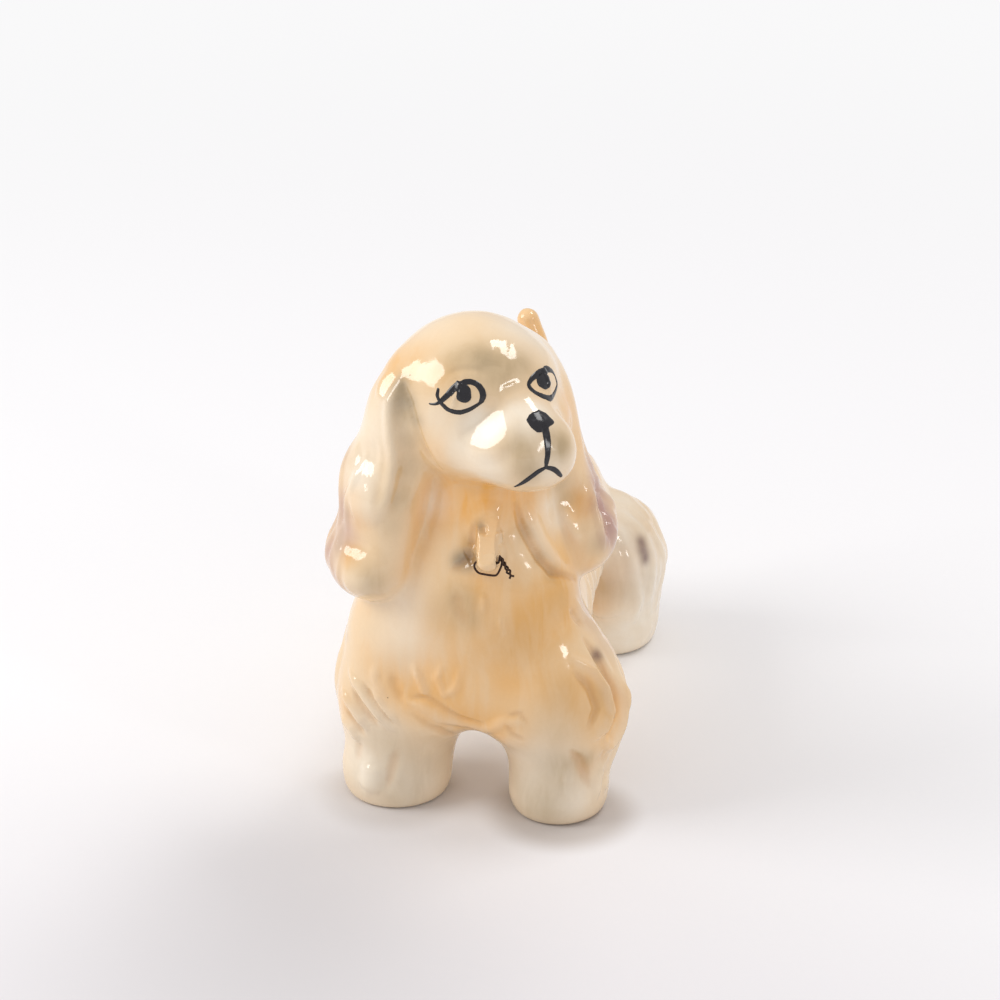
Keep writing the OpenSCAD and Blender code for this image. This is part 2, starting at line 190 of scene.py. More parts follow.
LUG_LIMBS = [
    (3.7, -40.2, 62.6, 4.9, -46.25, 56.4, 1.9, 1.75),
    (4.9, -46.25, 56.4, 4.9, -41.25, 56, 1.7, 2.2),
]


def to_head(points):
    """Points of the figure in the frame of the head, whose face looks along -Y."""
    x, y, z = (points - HEAD_AT).T
    cosine, sine = math.cos(HEAD_TURN), math.sin(HEAD_TURN)
    return np.stack([x * cosine + y * sine, y * cosine - x * sine, z], 1)


def from_head(points):
    """Points of the head's frame in the frame of the figure."""
    x, y, z = np.atleast_2d(np.asarray(points, float)).T
    cosine, sine = math.cos(HEAD_TURN), math.sin(HEAD_TURN)
    return np.stack([x * cosine - y * sine, x * sine + y * cosine, z], 1) + HEAD_AT


def egg_depths(points, eggs):
    """How far each point is outside each egg, negative inside."""
    rows = np.asarray(eggs, float)
    scaled = (points[:, None, :] - rows[None, :, :3]) / rows[None, :, 3:]
    reach = np.linalg.norm(scaled, axis=2)
    slope = np.linalg.norm(scaled / rows[None, :, 3:], axis=2)
    return reach * (reach - 1) / (slope + 1e-9)


def limb_depths(points, limbs):
    """How far each point is outside each limb, negative inside."""
    rows = np.asarray(limbs, float)
    run = rows[:, 3:6] - rows[:, :3]
    offset = points[:, None, :] - rows[None, :, :3]
    along = np.clip((offset * run[None]).sum(2) / (run * run).sum(1), 0, 1)
    apart = np.linalg.norm(offset - along[:, :, None] * run[None], axis=2)
    return apart - (rows[:, 6] + along * (rows[:, 7] - rows[:, 6]))


def soft_union(depths, blend):
    """One depth from a column of depths, rounded over a distance of about blend."""
    lowest = depths.min(1)
    return lowest - blend * np.log(np.exp((lowest[:, None] - depths) / blend).sum(1))


def join(first, second, blend):
    return soft_union(np.stack([first, second], 1), blend)


def clay_depth(points, eggs, limbs, blend):
    """How far points are outside one lump of eggs and limbs that are blended into each other."""
    return soft_union(np.concatenate([egg_depths(points, eggs), limb_depths(points, limbs)], 1), blend)


def body_depth(points):
    return clay_depth(points, BODY_EGGS, BODY_LIMBS, BODY_BLEND)


def head_depth(points):
    return soft_union(egg_depths(to_head(points), HEAD_EGGS), HEAD_BLEND)


def left_ear_depth(points):
    return clay_depth(to_head(points), LEFT_EAR_EGGS, LEFT_EAR_LIMBS, EAR_BLEND)


def right_ear_depth(points):
    return clay_depth(to_head(points), RIGHT_EAR_EGGS, RIGHT_EAR_LIMBS, EAR_BLEND)


def tail_depth(points):
    return limb_depths(points, TAIL_LIMBS)[:, 0]


def lug_depth(points):
    return soft_union(limb_depths(points, LUG_LIMBS), LUG_BLEND)


def near_only(points, low, high, field):
    """A field inside a box, and a plain far depth outside it."""
    depth = np.full(len(points), FAR_OUTSIDE)
    near = np.all((points > low) & (points < high), axis=1)
    depth[near] = field(points[near])
    return depth


def casting_depths(points):
    """Depths of the six castings, in the order of CASTINGS, each worked out only in a box round it."""
    return [
        body_depth(points),
        near_only(points, (-30, -65, 52), (32, 0, 110), head_depth),
        near_only(points, (-5, -55, 30), (40, 5, 105), left_ear_depth),
        near_only(points, (-42, -65, 30), (10, -8, 105), right_ear_depth),
        near_only(points, (-20, 24, 28), (16, 60, 80), tail_depth),
        near_only(points, (-10, -60, 42), (18, -28, 76), lug_depth),
    ]


def figure_depth(points):
    """Depth outside the whole glazed figure, with its flat soles and the lug's bore."""
    body, head, left_ear, right_ear, tail, lug = casting_depths(points)
    depth = join(body, head, NECK_JOIN)
    depth = join(depth, left_ear, EAR_JOIN)
    depth = join(depth, right_ear, EAR_JOIN)
    depth = join(depth, tail, TAIL_JOIN)
    depth = join(depth, lug, LUG_JOIN)
    bore = BORE_R - np.hypot(points[:, 1] - BORE_AT[1], points[:, 2] - BORE_AT[2])
    bore = np.where(np.abs(points[:, 0] - BORE_AT[0]) < BORE_REACH, bore, NO_BORE)
    depth = -join(-depth, -bore, BORE_EDGE)
    return -join(-depth, points[:, 2], SOLE_EDGE)


def settle(field, points, steps):
    """Moves points along the field's slope on to the surface where it is zero."""
    for _ in range(steps):
        depth = field(points)
        sides = np.eye(3) * SLOPE_STEP
        slope = np.stack([(field(points + side) - depth) / SLOPE_STEP for side in sides], 1)
        size = np.maximum((slope * slope).sum(1), LEAST_SLOPE)
        move = slope * (depth / size)[:, None]
        far = np.linalg.norm(move, axis=1)[:, None]
        points = points - move * np.minimum(1, LONGEST_MOVE / np.maximum(far, 1e-9))
    return points


def cast_on(field, starts, direction):
    """Points where lines from starts along direction first meet the surface."""
    points = np.array(starts, float)
    run = np.asarray(direction, float)
    for _ in range(CAST_STEPS):
        points = points + np.clip(field(points), -2, 8)[:, None] * CAST_PACE * run
    return points


# Hair and folds seen from the front: half width, height and points near the surface
FRONT_STROKES = [
    (1.7, 0.5, [(-11, -44, 25.5), (-8, -43.5, 24.5), (-5, -43, 22.5), (-0.5, -42.5, 21), (3.5, -41.5, 20.5),
                (7.5, -43, 23), (11, -43.5, 23.5)]),
    (1.3, -0.4, [(-9.5, -43, 22.5), (-6, -41.5, 20), (-4, -38, 17)]),
    (1.1, 0.55, [(-9.5, -44.5, 32.5), (-8, -44.5, 29), (-7, -45, 26.5)]),
    (1.6, 0.35, [(-17, -43.5, 31), (-17, -43.5, 28.5), (-15, -43.5, 25)]),
    (1.5, -0.35, [(-13.5, -44, 30), (-13, -44, 27.5), (-11.5, -44, 24.5)]),
    (1.7, 0.8, [(-22.5, -40, 27.5), (-20.5, -42, 25.5), (-18, -43, 22.5), (-14, -43, 18)]),
    (1.5, 0.8, [(-24.5, -39, 23), (-22, -41, 20.5), (-19.5, -42, 17)]),
    (1.5, 0.7, [(-25, -38, 17), (-23, -40, 15.5), (-21.5, -40, 13)]),
    (1.3, 0.55, [(-17.5, -43.5, 26), (-15.5, -44, 22.5), (-13, -44, 20)]),
    (1.1, -0.6, [(-21.5, -40.5, 24), (-20, -42, 21.5), (-17, -42.5, 18)]),
    (1.0, -0.55, [(-23.5, -39.5, 19.5), (-21.5, -41, 17), (-20, -41.5, 15)]),
    (1.0, -0.5, [(-19.5, -42.5, 26.5), (-17, -43.5, 23), (-14, -43.5, 19.5)]),
    (3.2, 0.9, [(-18.5, -41.5, 9.5), (-18.5, -42, 6.5), (-19.5, -42.5, 3.5)]),
    (1.5, -0.35, [(-13.5, -42, 13), (-14.5, -42.5, 9), (-15.5, -42.5, 5)]),
    (1.6, -0.3, [(-21, -40.5, 13), (-22.5, -40.5, 9)]),
    (0.9, -0.4, [(-11, -44.5, 25.5), (-7, -45, 26.5), (-4.5, -45, 25), (-0.5, -44, 22), (3, -43.5, 21.5)]),
    (1.1, 0.4, [(-4, -45, 33.5), (-5, -45, 30.5), (-3.5, -45, 27.5), (-1.5, -45, 29), (-0.5, -45.5, 33)]),
    (0.8, -0.4, [(7.5, -45, 23), (9, -44.5, 20.5), (11, -44, 19)]),
    (0.8, -0.4, [(8.5, -45, 24.5), (10.5, -45, 25), (12, -45, 23)]),
    (2.2, 1.0, [(21, -31.5, 38), (24, -31, 33), (26, -31.5, 28), (27, -32.5, 23.5), (27, -33, 18.5),
                (26, -35.5, 15.5), (25, -36.5, 13.5)]),
    (1.3, -0.9, [(20.5, -36, 37), (23.5, -35.5, 33), (26, -35, 27), (26.5, -35.5, 22.5), (25.5, -37.5, 19)]),
    (1.9, 0.8, [(19.5, -40, 35), (22.5, -38, 32), (25, -37, 28), (26, -37, 23.5), (25, -38.5, 20.5),
                (23.5, -40, 19)]),
    (1.3, -0.7, [(20.5, -41.5, 33), (22.5, -40, 29.5), (23.5, -39.5, 25), (22.5, -41, 21.5)]),
    (1.6, 0.8, [(24, -36, 10.5), (23.5, -36.5, 9), (23.5, -37.5, 5)]),
    (1.5, -0.7, [(19.5, -41.5, 16.5), (21, -40.5, 14), (21.5, -39.5, 11.5), (22.5, -38.5, 8)]),
    (1.4, 0.6, [(25, -38, 18), (25.5, -36, 15)]),
    (1.6, 0.5, [(19, -41, 12.5), (19, -41.5, 9)]),
    (1.2, 0.5, [(18.5, -34, 44), (20.5, -32, 40), (22.5, -31, 36)]),
    (1.2, -0.5, [(19, -36.5, 43), (20.5, -34.5, 39.5)]),
    (0.7, 0.4, [(4, -45.5, 49), (4, -46, 45.5)]),
    (0.7, 0.4, [(7, -45.5, 45), (7.5, -45, 40.5)]),
    (1.8, -0.3, [(-1, -45.5, 49), (-0.5, -46, 46), (1, -46.5, 43)]),
    (2.2, -0.55, [(0.4, -43.5, 54.8), (2.4, -43.5, 55.8)]),
    (1.2, -0.35, [(-2, -44, 52.8), (0, -44, 54), (2, -43.5, 55.5)]),
    (1.4, -0.5, [(1.6, -43, 62), (1.8, -43.5, 59.5), (1.6, -43.8, 57)]),
    (1.5, 0.4, [(6.6, -43, 61), (7, -43.5, 58.5)]),
    (1.4, -1.0, [(8.5, -39, 64.5), (9.5, -39, 60.5), (11, -39, 57.5), (13, -39, 54), (15, -38, 51),
                 (18, -32.5, 47.5)]),
    (2.6, 0.8, [(10.5, -37.5, 63.5), (11.5, -37.5, 60), (13, -37.5, 57), (15, -37, 54), (17, -35.5, 52)]),
    (1.2, -0.5, [(3, -43.8, 62.4), (3.8, -44.6, 60.8)]),
    (0.8, 0.5, [(19.5, -40, 35), (22.5, -38, 32), (25, -37, 28), (26, -37, 23.5), (25, -38.5, 20.5),
                (23.5, -40, 19)]),
    (0.8, 0.45, [(26, -31.5, 28), (27, -32.5, 23.5), (27, -33, 18.5), (26, -35.5, 15.5)]),
    (2.2, -0.5, [(25.5, -35.5, 14), (24.5, -37.5, 13.5)]),
    (1.5, 0.6, [(25, -34, 8), (24.5, -35, 5.5)]),
]

# The same for the head and ears, in the frame of the head
HEAD_STROKES = [
    (4.2, 0.5, [(-9.4, -10, 5.4), (-8.8, -10.4, 5.2)]),
    (3.6, 0.45, [(5.6, -11.5, 5), (6.6, -11, 5)]),
    (0.9, -0.25, [(-10.5, -9, 8.5), (-8.5, -10, 9.5), (-6, -11.5, 9.5), (-5, -12.5, 8.5)]),
    (3.2, -0.3, [(-1.2, -13.5, 7), (-0.6, -14, 4.5)]),
    (1.9, 0.7, [(-16.5, -1, 5.5), (-18, -1.5, 2.5), (-19, -2, 0), (-19.5, -3, -3.5), (-19.5, -4, -7),
                (-19.5, -4, -10.5), (-20.5, -4, -15), (-22, -3.5, -19.5)]),
    (3.0, -1.1, [(-16.5, -2.5, 4.5), (-17, -3.5, 1.5), (-17, -4.5, -2), (-17, -5.5, -5.5),
                 (-16.5, -5.5, -9.5), (-17.5, -5, -13), (-19, -5, -17)]),
    (1.0, -0.6, [(-16.5, -2.5, 5), (-16, -4.5, 2.5), (-16, -6, -0.5), (-15, -7, -4), (-14, -8, -7),
                 (-12, -8.5, -9.5)]),
    (0.9, -0.06, [(-3, -8, 13), (-6, -10.5, 10.5)]),
    (0.9, -0.06, [(-0.5, -8, 13), (-3, -11, 11)]),
    (0.9, -0.06, [(2, -8, 12.5), (0, -11.5, 10.5)]),
    (5.0, 0.9, [(-25, 2.5, -18), (-24, -0.5, -17.5), (-21.5, -3.5, -17)]),
    (4.0, -0.7, [(-23.5, 4, -10.5), (-22.5, 1, -9), (-21, -2, -9)]),
    (4.0, 0.6, [(-27.5, 1, -33), (-26, -2, -32.5), (-23.5, -4, -32.5)]),
    (2.4, -0.45, [(-26.5, 2.5, -26.5), (-25.5, -0.5, -25.5), (-24, -3, -26.5)]),
    (1.3, 0.5, [(-26, 6, -22), (-27.5, 5, -27), (-27.5, 5, -32)]),
    (1.1, -0.45, [(-26, 4, -22), (-27.5, 3, -27), (-27.5, 3, -32)]),
    (3.4, -0.9, [(13, -10, -16), (13.5, -11, -20), (14.5, -12.5, -23.5)]),
    (1.6, 0.45, [(11.5, -10.5, -21), (12.5, -11.5, -25), (13.5, -13, -27.5)]),
    (4.5, -1.5, [(20.5, -6, -19), (21.5, -7.5, -21), (21.5, -9.5, -22.5), (21, -11, -25)]),
    (1.0, 0.6, [(17.5, -9, -17.5), (17.5, -11.5, -22.5), (18, -13, -26), (18.5, -13, -30)]),
    (1.0, -0.6, [(19.5, -8, -19), (19.5, -10.5, -22.5), (19.5, -12, -26), (20.5, -12, -30)]),
    (0.9, 0.5, [(21.5, -6.5, -20.5), (21, -10, -23), (21, -11.5, -26), (22, -11, -29.5)]),
]


def coat_strokes():
    """Wavy locks down the flanks, haunches, legs and the outer sides of the ears."""
    draws = np.random.default_rng(11)
    strokes = []

    def lock(start, end, sway, from_point, direction, turned, half_width, height):
        phase = draws.uniform(0, 1)
        share = np.linspace(0, 1, 8)
        along = start[0] + (end[0] - start[0]) * share + sway * np.sin(2 * math.pi * (1.1 * share + phase))
        level = start[1] + (end[1] - start[1]) * share
        rows = np.stack([np.full(8, from_point), along, level], 1)
        if direction[1] != 0:
            rows = rows[:, [1, 0, 2]]
        starts = from_head(rows) if turned else rows
        run = from_head([direction])[0] - HEAD_AT if turned else np.array(direction, float)
        strokes.append((half_width, height, cast_on(figure_depth, starts, run)))

    for side in (1, -1):
        for number in range(6):
            y = -15 + 5.6 * number
            top = 39 + 2 * math.sin(number)
            lock((y, top), (y + 2.5, 23), 1.1, side * 45, (-side, 0, 0), False, 1.9, 0.6)
        for number in range(6):
            y = 20 + 4.9 * number
            lock((y, 36 - 1.5 * number), (y + 2, 9), 1.2, side * 45, (-side, 0, 0), False, 2.3, 0.45)
        for y in (-33, -28.5, -24):
            lock((y, 33), (y + 1.5, 6), 1.2, side * 45, (-side, 0, 0), False, 1.8, 0.65)
        for x in (8.5, 13, 17.5):
            lock((MIDDLE_X + side * x, 25), (MIDDLE_X + side * x, 6), 0.9, 70, (0, -1, 0), False, 1.7, 0.55)
    for y in (3.5, 8, 11.5):
        lock((y - 1, -9), (y, -35), 1.0, -45, (1, 0, 0), True, 1.5, 0.5)
    for y in (-6, -2, 2.5):
        lock((y + 2, -9), (y, -35), 1.0, 45, (-1, 0, 0), True, 1.5, 0.55)
    for x in (-21, -17.5):
        lock((x + 4, -10), (x, -35), 0.8, 45, (0, -1, 0), True, 1.4, 0.5)
    for x in (17.5, 14.5):
        lock((x - 3, -10), (x, -35), 0.8, 45, (0, -1, 0), True, 1.4, 0.5)
    return strokes


def beside_run(points, start, run):
    """Share of a straight run at which points are nearest to it, and their distance from it."""
    along = np.clip(((points - start) @ run) / max(run @ run, 1e-9), 0, 1)
    return along, np.linalg.norm(points - start - along[:, None] * run, axis=1)


def stroke_reach(points, path):
    """Distance of points from a path, and the share of its length at which they are nearest."""
    best = np.full(len(points), 1e9)
    share = np.full(len(points), 0.5)
    pieces = max(len(path) - 1, 1)
    for number in range(len(path) - 1):
        along, apart = beside_run(points, path[number], path[number + 1] - path[number])
        nearer = apart < best
        best = np.where(nearer, apart, best)
        share = np.where(nearer, (number + along) / pieces, share)
    return best, share


def hair_relief(points, strokes):
    """Height of the modelled hair over the plain surface."""
    total = np.zeros(len(points))
    for half_width, height, path in strokes:
        near = np.all((points > path.min(0) - half_width) & (points < path.max(0) + half_width), axis=1)
        if not near.any():
            continue
        apart, share = stroke_reach(points[near], path)
        fade = np.clip(5 * share, 0, 1) * np.clip(5 * (1 - share), 0, 1)
        width = half_width * (0.65 + 0.35 * fade)
        total[near] += height * (0.3 + 0.7 * fade) * np.clip(1 - (apart / width) ** 2, 0, 1) ** 2
    return total


# Places pressed flat: a point, the bearing and height in degrees that they face, their radius and how far
# the dents in them are filled
FLATS = [
    ((5.5, -46.5, 82.0), -29, 41, 6.5, 1.2),
    ((-14.5, -40.5, 86.0), -30, 38, 4.0, 1.2),
    ((4.2, -43.3, 61.3), 2, 45, 3.4, 0.0),
    ((4.6, -45.6, 59.0), 2, 45, 3.4, 0.0),
    ((4.9, -47.1, 57.6), 2, 42, 3.0, 0.0),
    ((6.6, -45.2, 56.2), 90, 0, 3.0, 0.0),
]


# Deepest push of a flattened place, and how much of its radius is fully flat: more as this grows past 1
PRESS_DEPTH = 1.2
PRESS_REACH = 1.6


def pressed(points, normals):
    """Rise along the normals that brings the flattened places to their planes."""
    total = np.zeros(len(points))
    for centre, bearing, height, radius, fill in FLATS:
        level = math.cos(math.radians(height))
        way = np.array([level * math.sin(math.radians(bearing)), -level * math.cos(math.radians(bearing)),
                        math.sin(math.radians(height))])
        away = points - centre
        share = np.clip(PRESS_REACH - PRESS_REACH * np.linalg.norm(away, axis=1) / radius, 0, 1)
        rise = -(away @ way) / np.maximum(normals @ way, 0.5)
        push = share ** 2 * (3 - 2 * share) * np.clip(rise, -PRESS_DEPTH, fill)
        total = np.where(np.abs(push) > np.abs(total), push, total)
    return total


# Sine waves that the unevenness is made of, and what brings their sum to about 1
WAVE_PARTS = 7
WAVE_LEVEL = 4.5


def hand_wave(points, length, seed):
    """Slow unevenness of hand-finished clay, from -1 to 1."""
    draws = np.random.default_rng(seed)
    total = np.zeros(len(points))
    for _ in range(WAVE_PARTS):
        way = draws.normal(size=3)
        way *= 2 * math.pi / (length * np.linalg.norm(way) * draws.uniform(0.7, 1.4))
        total += np.sin(points @ way + draws.uniform(0, 6.3))
    return total / WAVE_LEVEL


# Airbrushed tones, with painted shade and a painted highlight among them: place, radius and strength of each
# dab of the spray
SPRAY = {
    "amber": [
        (0, -41, 66, 6, 0.9), (-8, -40, 61, 4.5, 0.3), (8, -40, 65, 5, 0.7), (10, -44, 40, 7, 0.8),
        (4, -45, 50, 6, 0.6), (-3, -45, 42, 7, 0.4), (16, -41, 44, 6, 0.8), (-4, -45, 31, 6, 0.7),
        (-11, -44, 27, 5, 0.6), (0, -43, 23, 5, 0.7), (7, -42, 22, 5, 0.65), (21, -42, 29, 5, 0.6),
        (24, -36, 22, 5, 0.6), (-24, -38, 20, 4, 0.4), (-17, -43, 32, 5, 0.3), (-6, -43, 23, 3, 0.5),
        (-13, -43, 47, 5, 0.25), (18, -29, 61, 3, 0.7), (16, -35, 52, 5, 0.6), (19, -33, 48, 4, 0.5),
        (-12, -38, 90, 5, 0.4), (-14, -35, 86, 5, 0.3), (-3, -43, 90, 3, 0.4), (12, -40, 86, 3, 0.35),
        (17, -29, 80, 5, 0.6), (-6, -45, 76, 4, 0.35), (-20, -44, 66, 2.5, 0.6), (-21, -45.5, 54.5, 2.2, 0.6),
        (-19, -45, 62, 2.5, 0.4), (20, -37, 72, 5, 0.5), (0, -2, 47, 13, 0.45), (0, 18, 45, 12, 0.5),
        (0, 36, 42, 9, 0.5), (0, -16, 60, 8, 0.5), (-3, 41, 52, 7, 0.6), (-6, 42, 64, 7, 0.55),
        (0, -20, 74, 9, 0.4), (0, -16, 84, 9, 0.3), (-22, -34, 62, 5, 0.35), (-24, -36, 52, 4, 0.3),
        (22, -14, 60, 5, 0.45), (18, -22, 72, 5, 0.5), (-9, -42, 55, 3, 0.3), (-11, -44.5, 51, 3, 0.4),
        (12, -36, 68, 5, 0.5), (15, 28, 26, 4, 0.35), (24.5, -38.5, 26.5, 5, 0.5), (17, -43.5, 30, 5, 0.45),
        (16.5, -38, 46, 4, 0.95), (13, -42, 44, 4, 0.5), (21.5, -39.5, 12.5, 2.4, 0.5),
        (25, -37, 17, 2.2, 0.5), (14, 26, 36, 5, 0.4),
        (20, 34, 27, 2.5, 0.45), (22, 32, 21.5, 2.5, 0.35), (13.5, 21, 19, 4, 0.6), (12.5, 22, 14, 3.5, 0.5),
        (8.5, -44.5, 31.5, 4.5, 0.5), (16.5, -38.5, 43.5, 4, 0.6), (2.5, -41.5, 67, 4, 0.6),
        (0.8, -43, 57.5, 1.6, 0.6), (-6, -40, 64, 4, 0.6),
    ],
    # Smoke: olive grey airbrushing, with painted shade on the feet and lower legs
    "smoke": [
        (-2, -42, 92, 3.2, 0.5), (2, -41, 93, 3.6, 0.55), (6, -41, 92, 3.6, 0.6), (9, -38, 91, 2.8, 0.5),
        (5, -43, 90, 2.6, 0.4), (11, -48, 80, 3.2, 0.6), (13, -49, 76, 3, 0.6), (18, -45, 79, 2.5, 0.6),
        (-12, -42, 86, 2, 0.7), (-11, -43.5, 82.5, 2.6, 0.7), (-10, -44.5, 77.5, 2.8, 0.55),
        (-10.5, -44.5, 72, 2.8, 0.55), (-12, -45, 66, 3, 0.5), (-13, -46, 61, 2.4, 0.3),
        (-16, -48, 50, 3.5, 0.5),
        # The dabs at heights of 5 to 14 on the feet and lower legs are painted shade
        (0, -46, 48, 3, 0.5), (1.5, -46, 44, 2.4, 0.4), (-15, -42, 14, 5, 0.4), (17, -42, 12, 5, 0.6),
        (22, -40, 14, 2.4, 0.5), (-7, -38, 10, 5, 0.3), (-12, -43, 5, 6, 0.45), (13, -42, 5, 6, 0.6),
        (-22, -39, 5, 4, 0.2), (-3, -45, 45, 5, 0.3), (-1, -44, 87.3, 2.6, 0.3), (12, -35, 87, 2.2, 0.3),
        (16, 30, 18, 5, 0.25), (14, -36, 66, 2.5, 0.3), (16, -30, 62, 2, 0.5), (15, -30, 65, 2, 0.5),
        (22, -29.5, 53.5, 2.4, 0.4), (18, 24, 30, 5, 0.3), (17.5, -44.5, 80.5, 3, 0.5),
        (13, -39, 54, 1.6, 0.5),
        (15, -38, 51, 1.6, 0.5), (10, -39, 59, 1.6, 0.4), (17, -42, 22, 5, 0.3), (18, 33, 24, 7, 0.3),
        (13.5, 21, 19, 4, 0.4), (16.5, -38, 46, 5, 0.3), (10, -44, 40, 6, 0.25),
        (24.5, -38.5, 26.5, 4, 0.3), (18, -43, 29, 4, 0.25), (18, 24, 18, 4, 0.25), (1, -43.3, 58, 1.6, 0.4),
    ],
    "mauve": [
        (-24, -41, 62, 3.4, 0.6), (-22, -43, 58, 3.5, 0.5), (-26, -41, 52, 3.4, 0.7), (-24, -44, 48, 3, 0.5),
        (20, -22, 66, 3, 0.8), (22, -26, 60, 2.4, 0.9), (23.5, -27.5, 54.5, 2.2, 0.7),
        (21, -24, 63, 2.6, 0.85),
        (-27, -35, 58, 4, 0.6), (-26, -30, 50, 4, 0.6), (23, -18, 58, 3, 0.6), (24, -22, 50, 3, 0.6),
        (-25, -36, 70, 3.5, 0.5), (-19, -26, 54, 3.5, 0.4), (17, -14, 66, 3.5, 0.4), (18, 22, 24, 7, 0.15),
        (21, -30, 40, 4, 0.35), (24, -30, 34, 3, 0.3), (22.5, -24.5, 59, 2.6, 0.85),
        (23.5, -25.5, 56, 2.4, 0.8), (24, -25, 52.5, 2.2, 0.6), (21, -21.5, 61.5, 2.6, 0.8),
        (-24, -43, 55.5, 3, 0.25),
    ],
    # Slate: painted shade in the ear's valley, in the dents beside the lug and at its bore, and a grey tone
    # on the forehead
    "slate": [
        (-12, -41.5, 87, 1.7, 0.55), (-11.5, -43, 84.5, 1.9, 0.5), (1, -44, 55.2, 1.9, 0.9),
        (-0.8, -44, 54.6, 1.6, 0.75), (2.6, -43.6, 61.6, 1.1, 0.6), (7, -43, 59.5, 0.8, 0.3),
        (3, -41, 92.5, 2, 0.2), (-10, -43.5, 84.5, 1.4, 0.5),
        (-8.5, -44, 81.5, 1.4, 0.4),
    ],
    "umber": [
        (19, 29, 26, 1.4, 0.9), (19.5, 28.5, 24.5, 1.4, 0.85),
        (20, 28.5, 23, 1.4, 0.85), (23, -35, 33.5, 1.3, 0.85), (-18, 26, 28, 1.4, 0.85),
        (-23, -36, 33, 1.2, 0.5),
        (17, 8, 31, 1.3, 0.75), (-16.5, 6, 30, 1.3, 0.75), (18, 17, 24, 1.1, 0.65), (-17, 15, 25, 1.1, 0.6),
        (14, 45, 24, 1.2, 0.65), (-13, 45, 25, 1.2, 0.65), (17.5, -6, 29, 1.2, 0.65), (-17, -7, 30, 1.2, 0.6),
    ],
    "white": [
        (1, -46, 78, 4.5, 0.6), (6, -48, 76, 4, 0.6), (13, -43, 85, 3.5, 0.8), (12, -46, 83, 3.5, 0.7),
        (-16, -42, 78, 5, 0.5), (-14, -42, 83, 3, 0.4), (-4, -45, 83, 3.5, 0.4), (13.5, -32.5, 62, 2.4, 0.6),
        # The five dabs from (3, -45.5, 84) to (9.5, -44.5, 85) paint the highlight on the cheek beside the
        # muzzle
        (14.5, -32, 58.5, 2.2, 0.5), (3, -45.5, 84, 2.2, 0.8), (1.5, -46, 82.5, 2, 0.7),
        (5.5, -46.5, 82, 2.2, 0.85),
        (8, -45.5, 83.5, 2, 0.8), (9.5, -44.5, 85, 1.8, 0.7), (-11, -44, 38, 7, 0.4), (18, -40, 44, 3, 0.1),
        (-20, -41, 8, 7, 0.75), (-10, -43, 5, 8, 0.75), (12, -43, 6, 8, 0.75), (20, -43, 5, 6, 0.7),
        (17, -48, 76, 4, 0.6), (14, 38, 6, 12, 0.85), (-13, 38, 6, 12, 0.85), (16, -28, 5, 9, 0.7),
        (-15, -28, 5, 9, 0.7), (20, 30, 18, 10, 0.75), (-19, 30, 18, 10, 0.75), (0, 5, 20, 12, 0.5),
        (-17, -42, 18, 6, 0.45), (15, -42, 14, 6, 0.5), (15, 28, 32, 8, 0.6), (-14, 28, 32, 8, 0.5),
        (-21, -37, 76, 5, 0.5), (-8, -32, 94, 7, 0.3), (8, -28, 93, 7, 0.45), (-19, -43, 70, 4, 0.5),
        (-12, -44, 46, 5, 0.4), (20, -22, 66, 1.5, 0.4), (16.5, 28, 4.5, 6, 0.8), (19.5, 29.5, 8.5, 5, 0.6),
        # The dab at (-6.5, -40, 64) is painted light that lightens the shaded crease between the neck and the
        # right ear
        (14.5, 34.5, 32.5, 4, 0.5), (-6.5, -40, 64, 3.5, 0.5), (15.5, 25.5, 28, 3.5, 0.5),
        (-19, -43.5, 68.5, 3.5, 0.6), (19.5, -42, 75.5, 3, 0.35), (7, -31, 94.5, 5, 0.25),
        (-16, -46, 62, 2.5, 0.2),
    ],
}


def spray_mask(points, dabs):
    """Cover of an airbrushed tone at points, from 0 to 1."""
    bare = np.ones(len(points))
    for x, y, z, radius, strength in dabs:
        apart = ((points - (x, y, z)) ** 2).sum(1) / radius ** 2
        bare *= 1 - strength * np.exp(-apart)
    return 1 - bare


def new_object(name, mesh):
    obj = bpy.data.objects.new(name, mesh)
    bpy.context.scene.collection.objects.link(obj)
    return obj


def vectors(items, name):
    """One vector of each item of a mesh, as rows."""
    flat = np.zeros(len(items) * 3)
    items.foreach_get(name, flat)
    return flat.reshape(-1, 3)


def coordinates(mesh):
    """Vertices of a mesh as rows of millimetres."""
    return vectors(mesh.vertices, "co") / MM


def place(mesh, points):
    mesh.vertices.foreach_set("co", (points * MM).astype(np.float32).ravel())
    mesh.update()


def shade_smooth(mesh):
    mesh.polygons.foreach_set("use_smooth", [True] * len(mesh.polygons))


@contextlib.contextmanager
def edited(mesh):
    """A bmesh of a mesh, which is written back when the work on it is done."""
    bm = bmesh.new()
    bm.from_mesh(mesh)
    yield bm
    bm.to_mesh(mesh)
    bm.free()


def made(bm, name):
    """A new mesh of a bmesh, which is done with."""
    mesh = bpy.data.meshes.new(name)
    bm.to_mesh(mesh)
    bm.free()
    return mesh


def only(kind, items):
    """The vertices or the edges among what an operator made."""
    return [item for item in items if isinstance(item, kind)]


def finished(piece, material, body, node):
    """Gives a piece its material and the body that it rides on, and hides the node of the part that it stands
    for.
    """
    piece.data.materials.append(material)
    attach(piece, body)
    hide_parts(node)


def add_float(mesh, name, values):
    layer = mesh.attributes.new(name, "FLOAT", "POINT")
    layer.data.foreach_set("value", np.asarray(values, np.float32))


def lump(bm, centre, radii, turn):
    """Adds an egg to a bmesh."""
    matrix = Matrix.Translation(centre) @ Matrix.Rotation(turn, 4, "Z") @ Matrix.Diagonal((*radii, 1))
    bmesh.ops.create_icosphere(bm, subdivisions=4, radius=1, matrix=matrix)


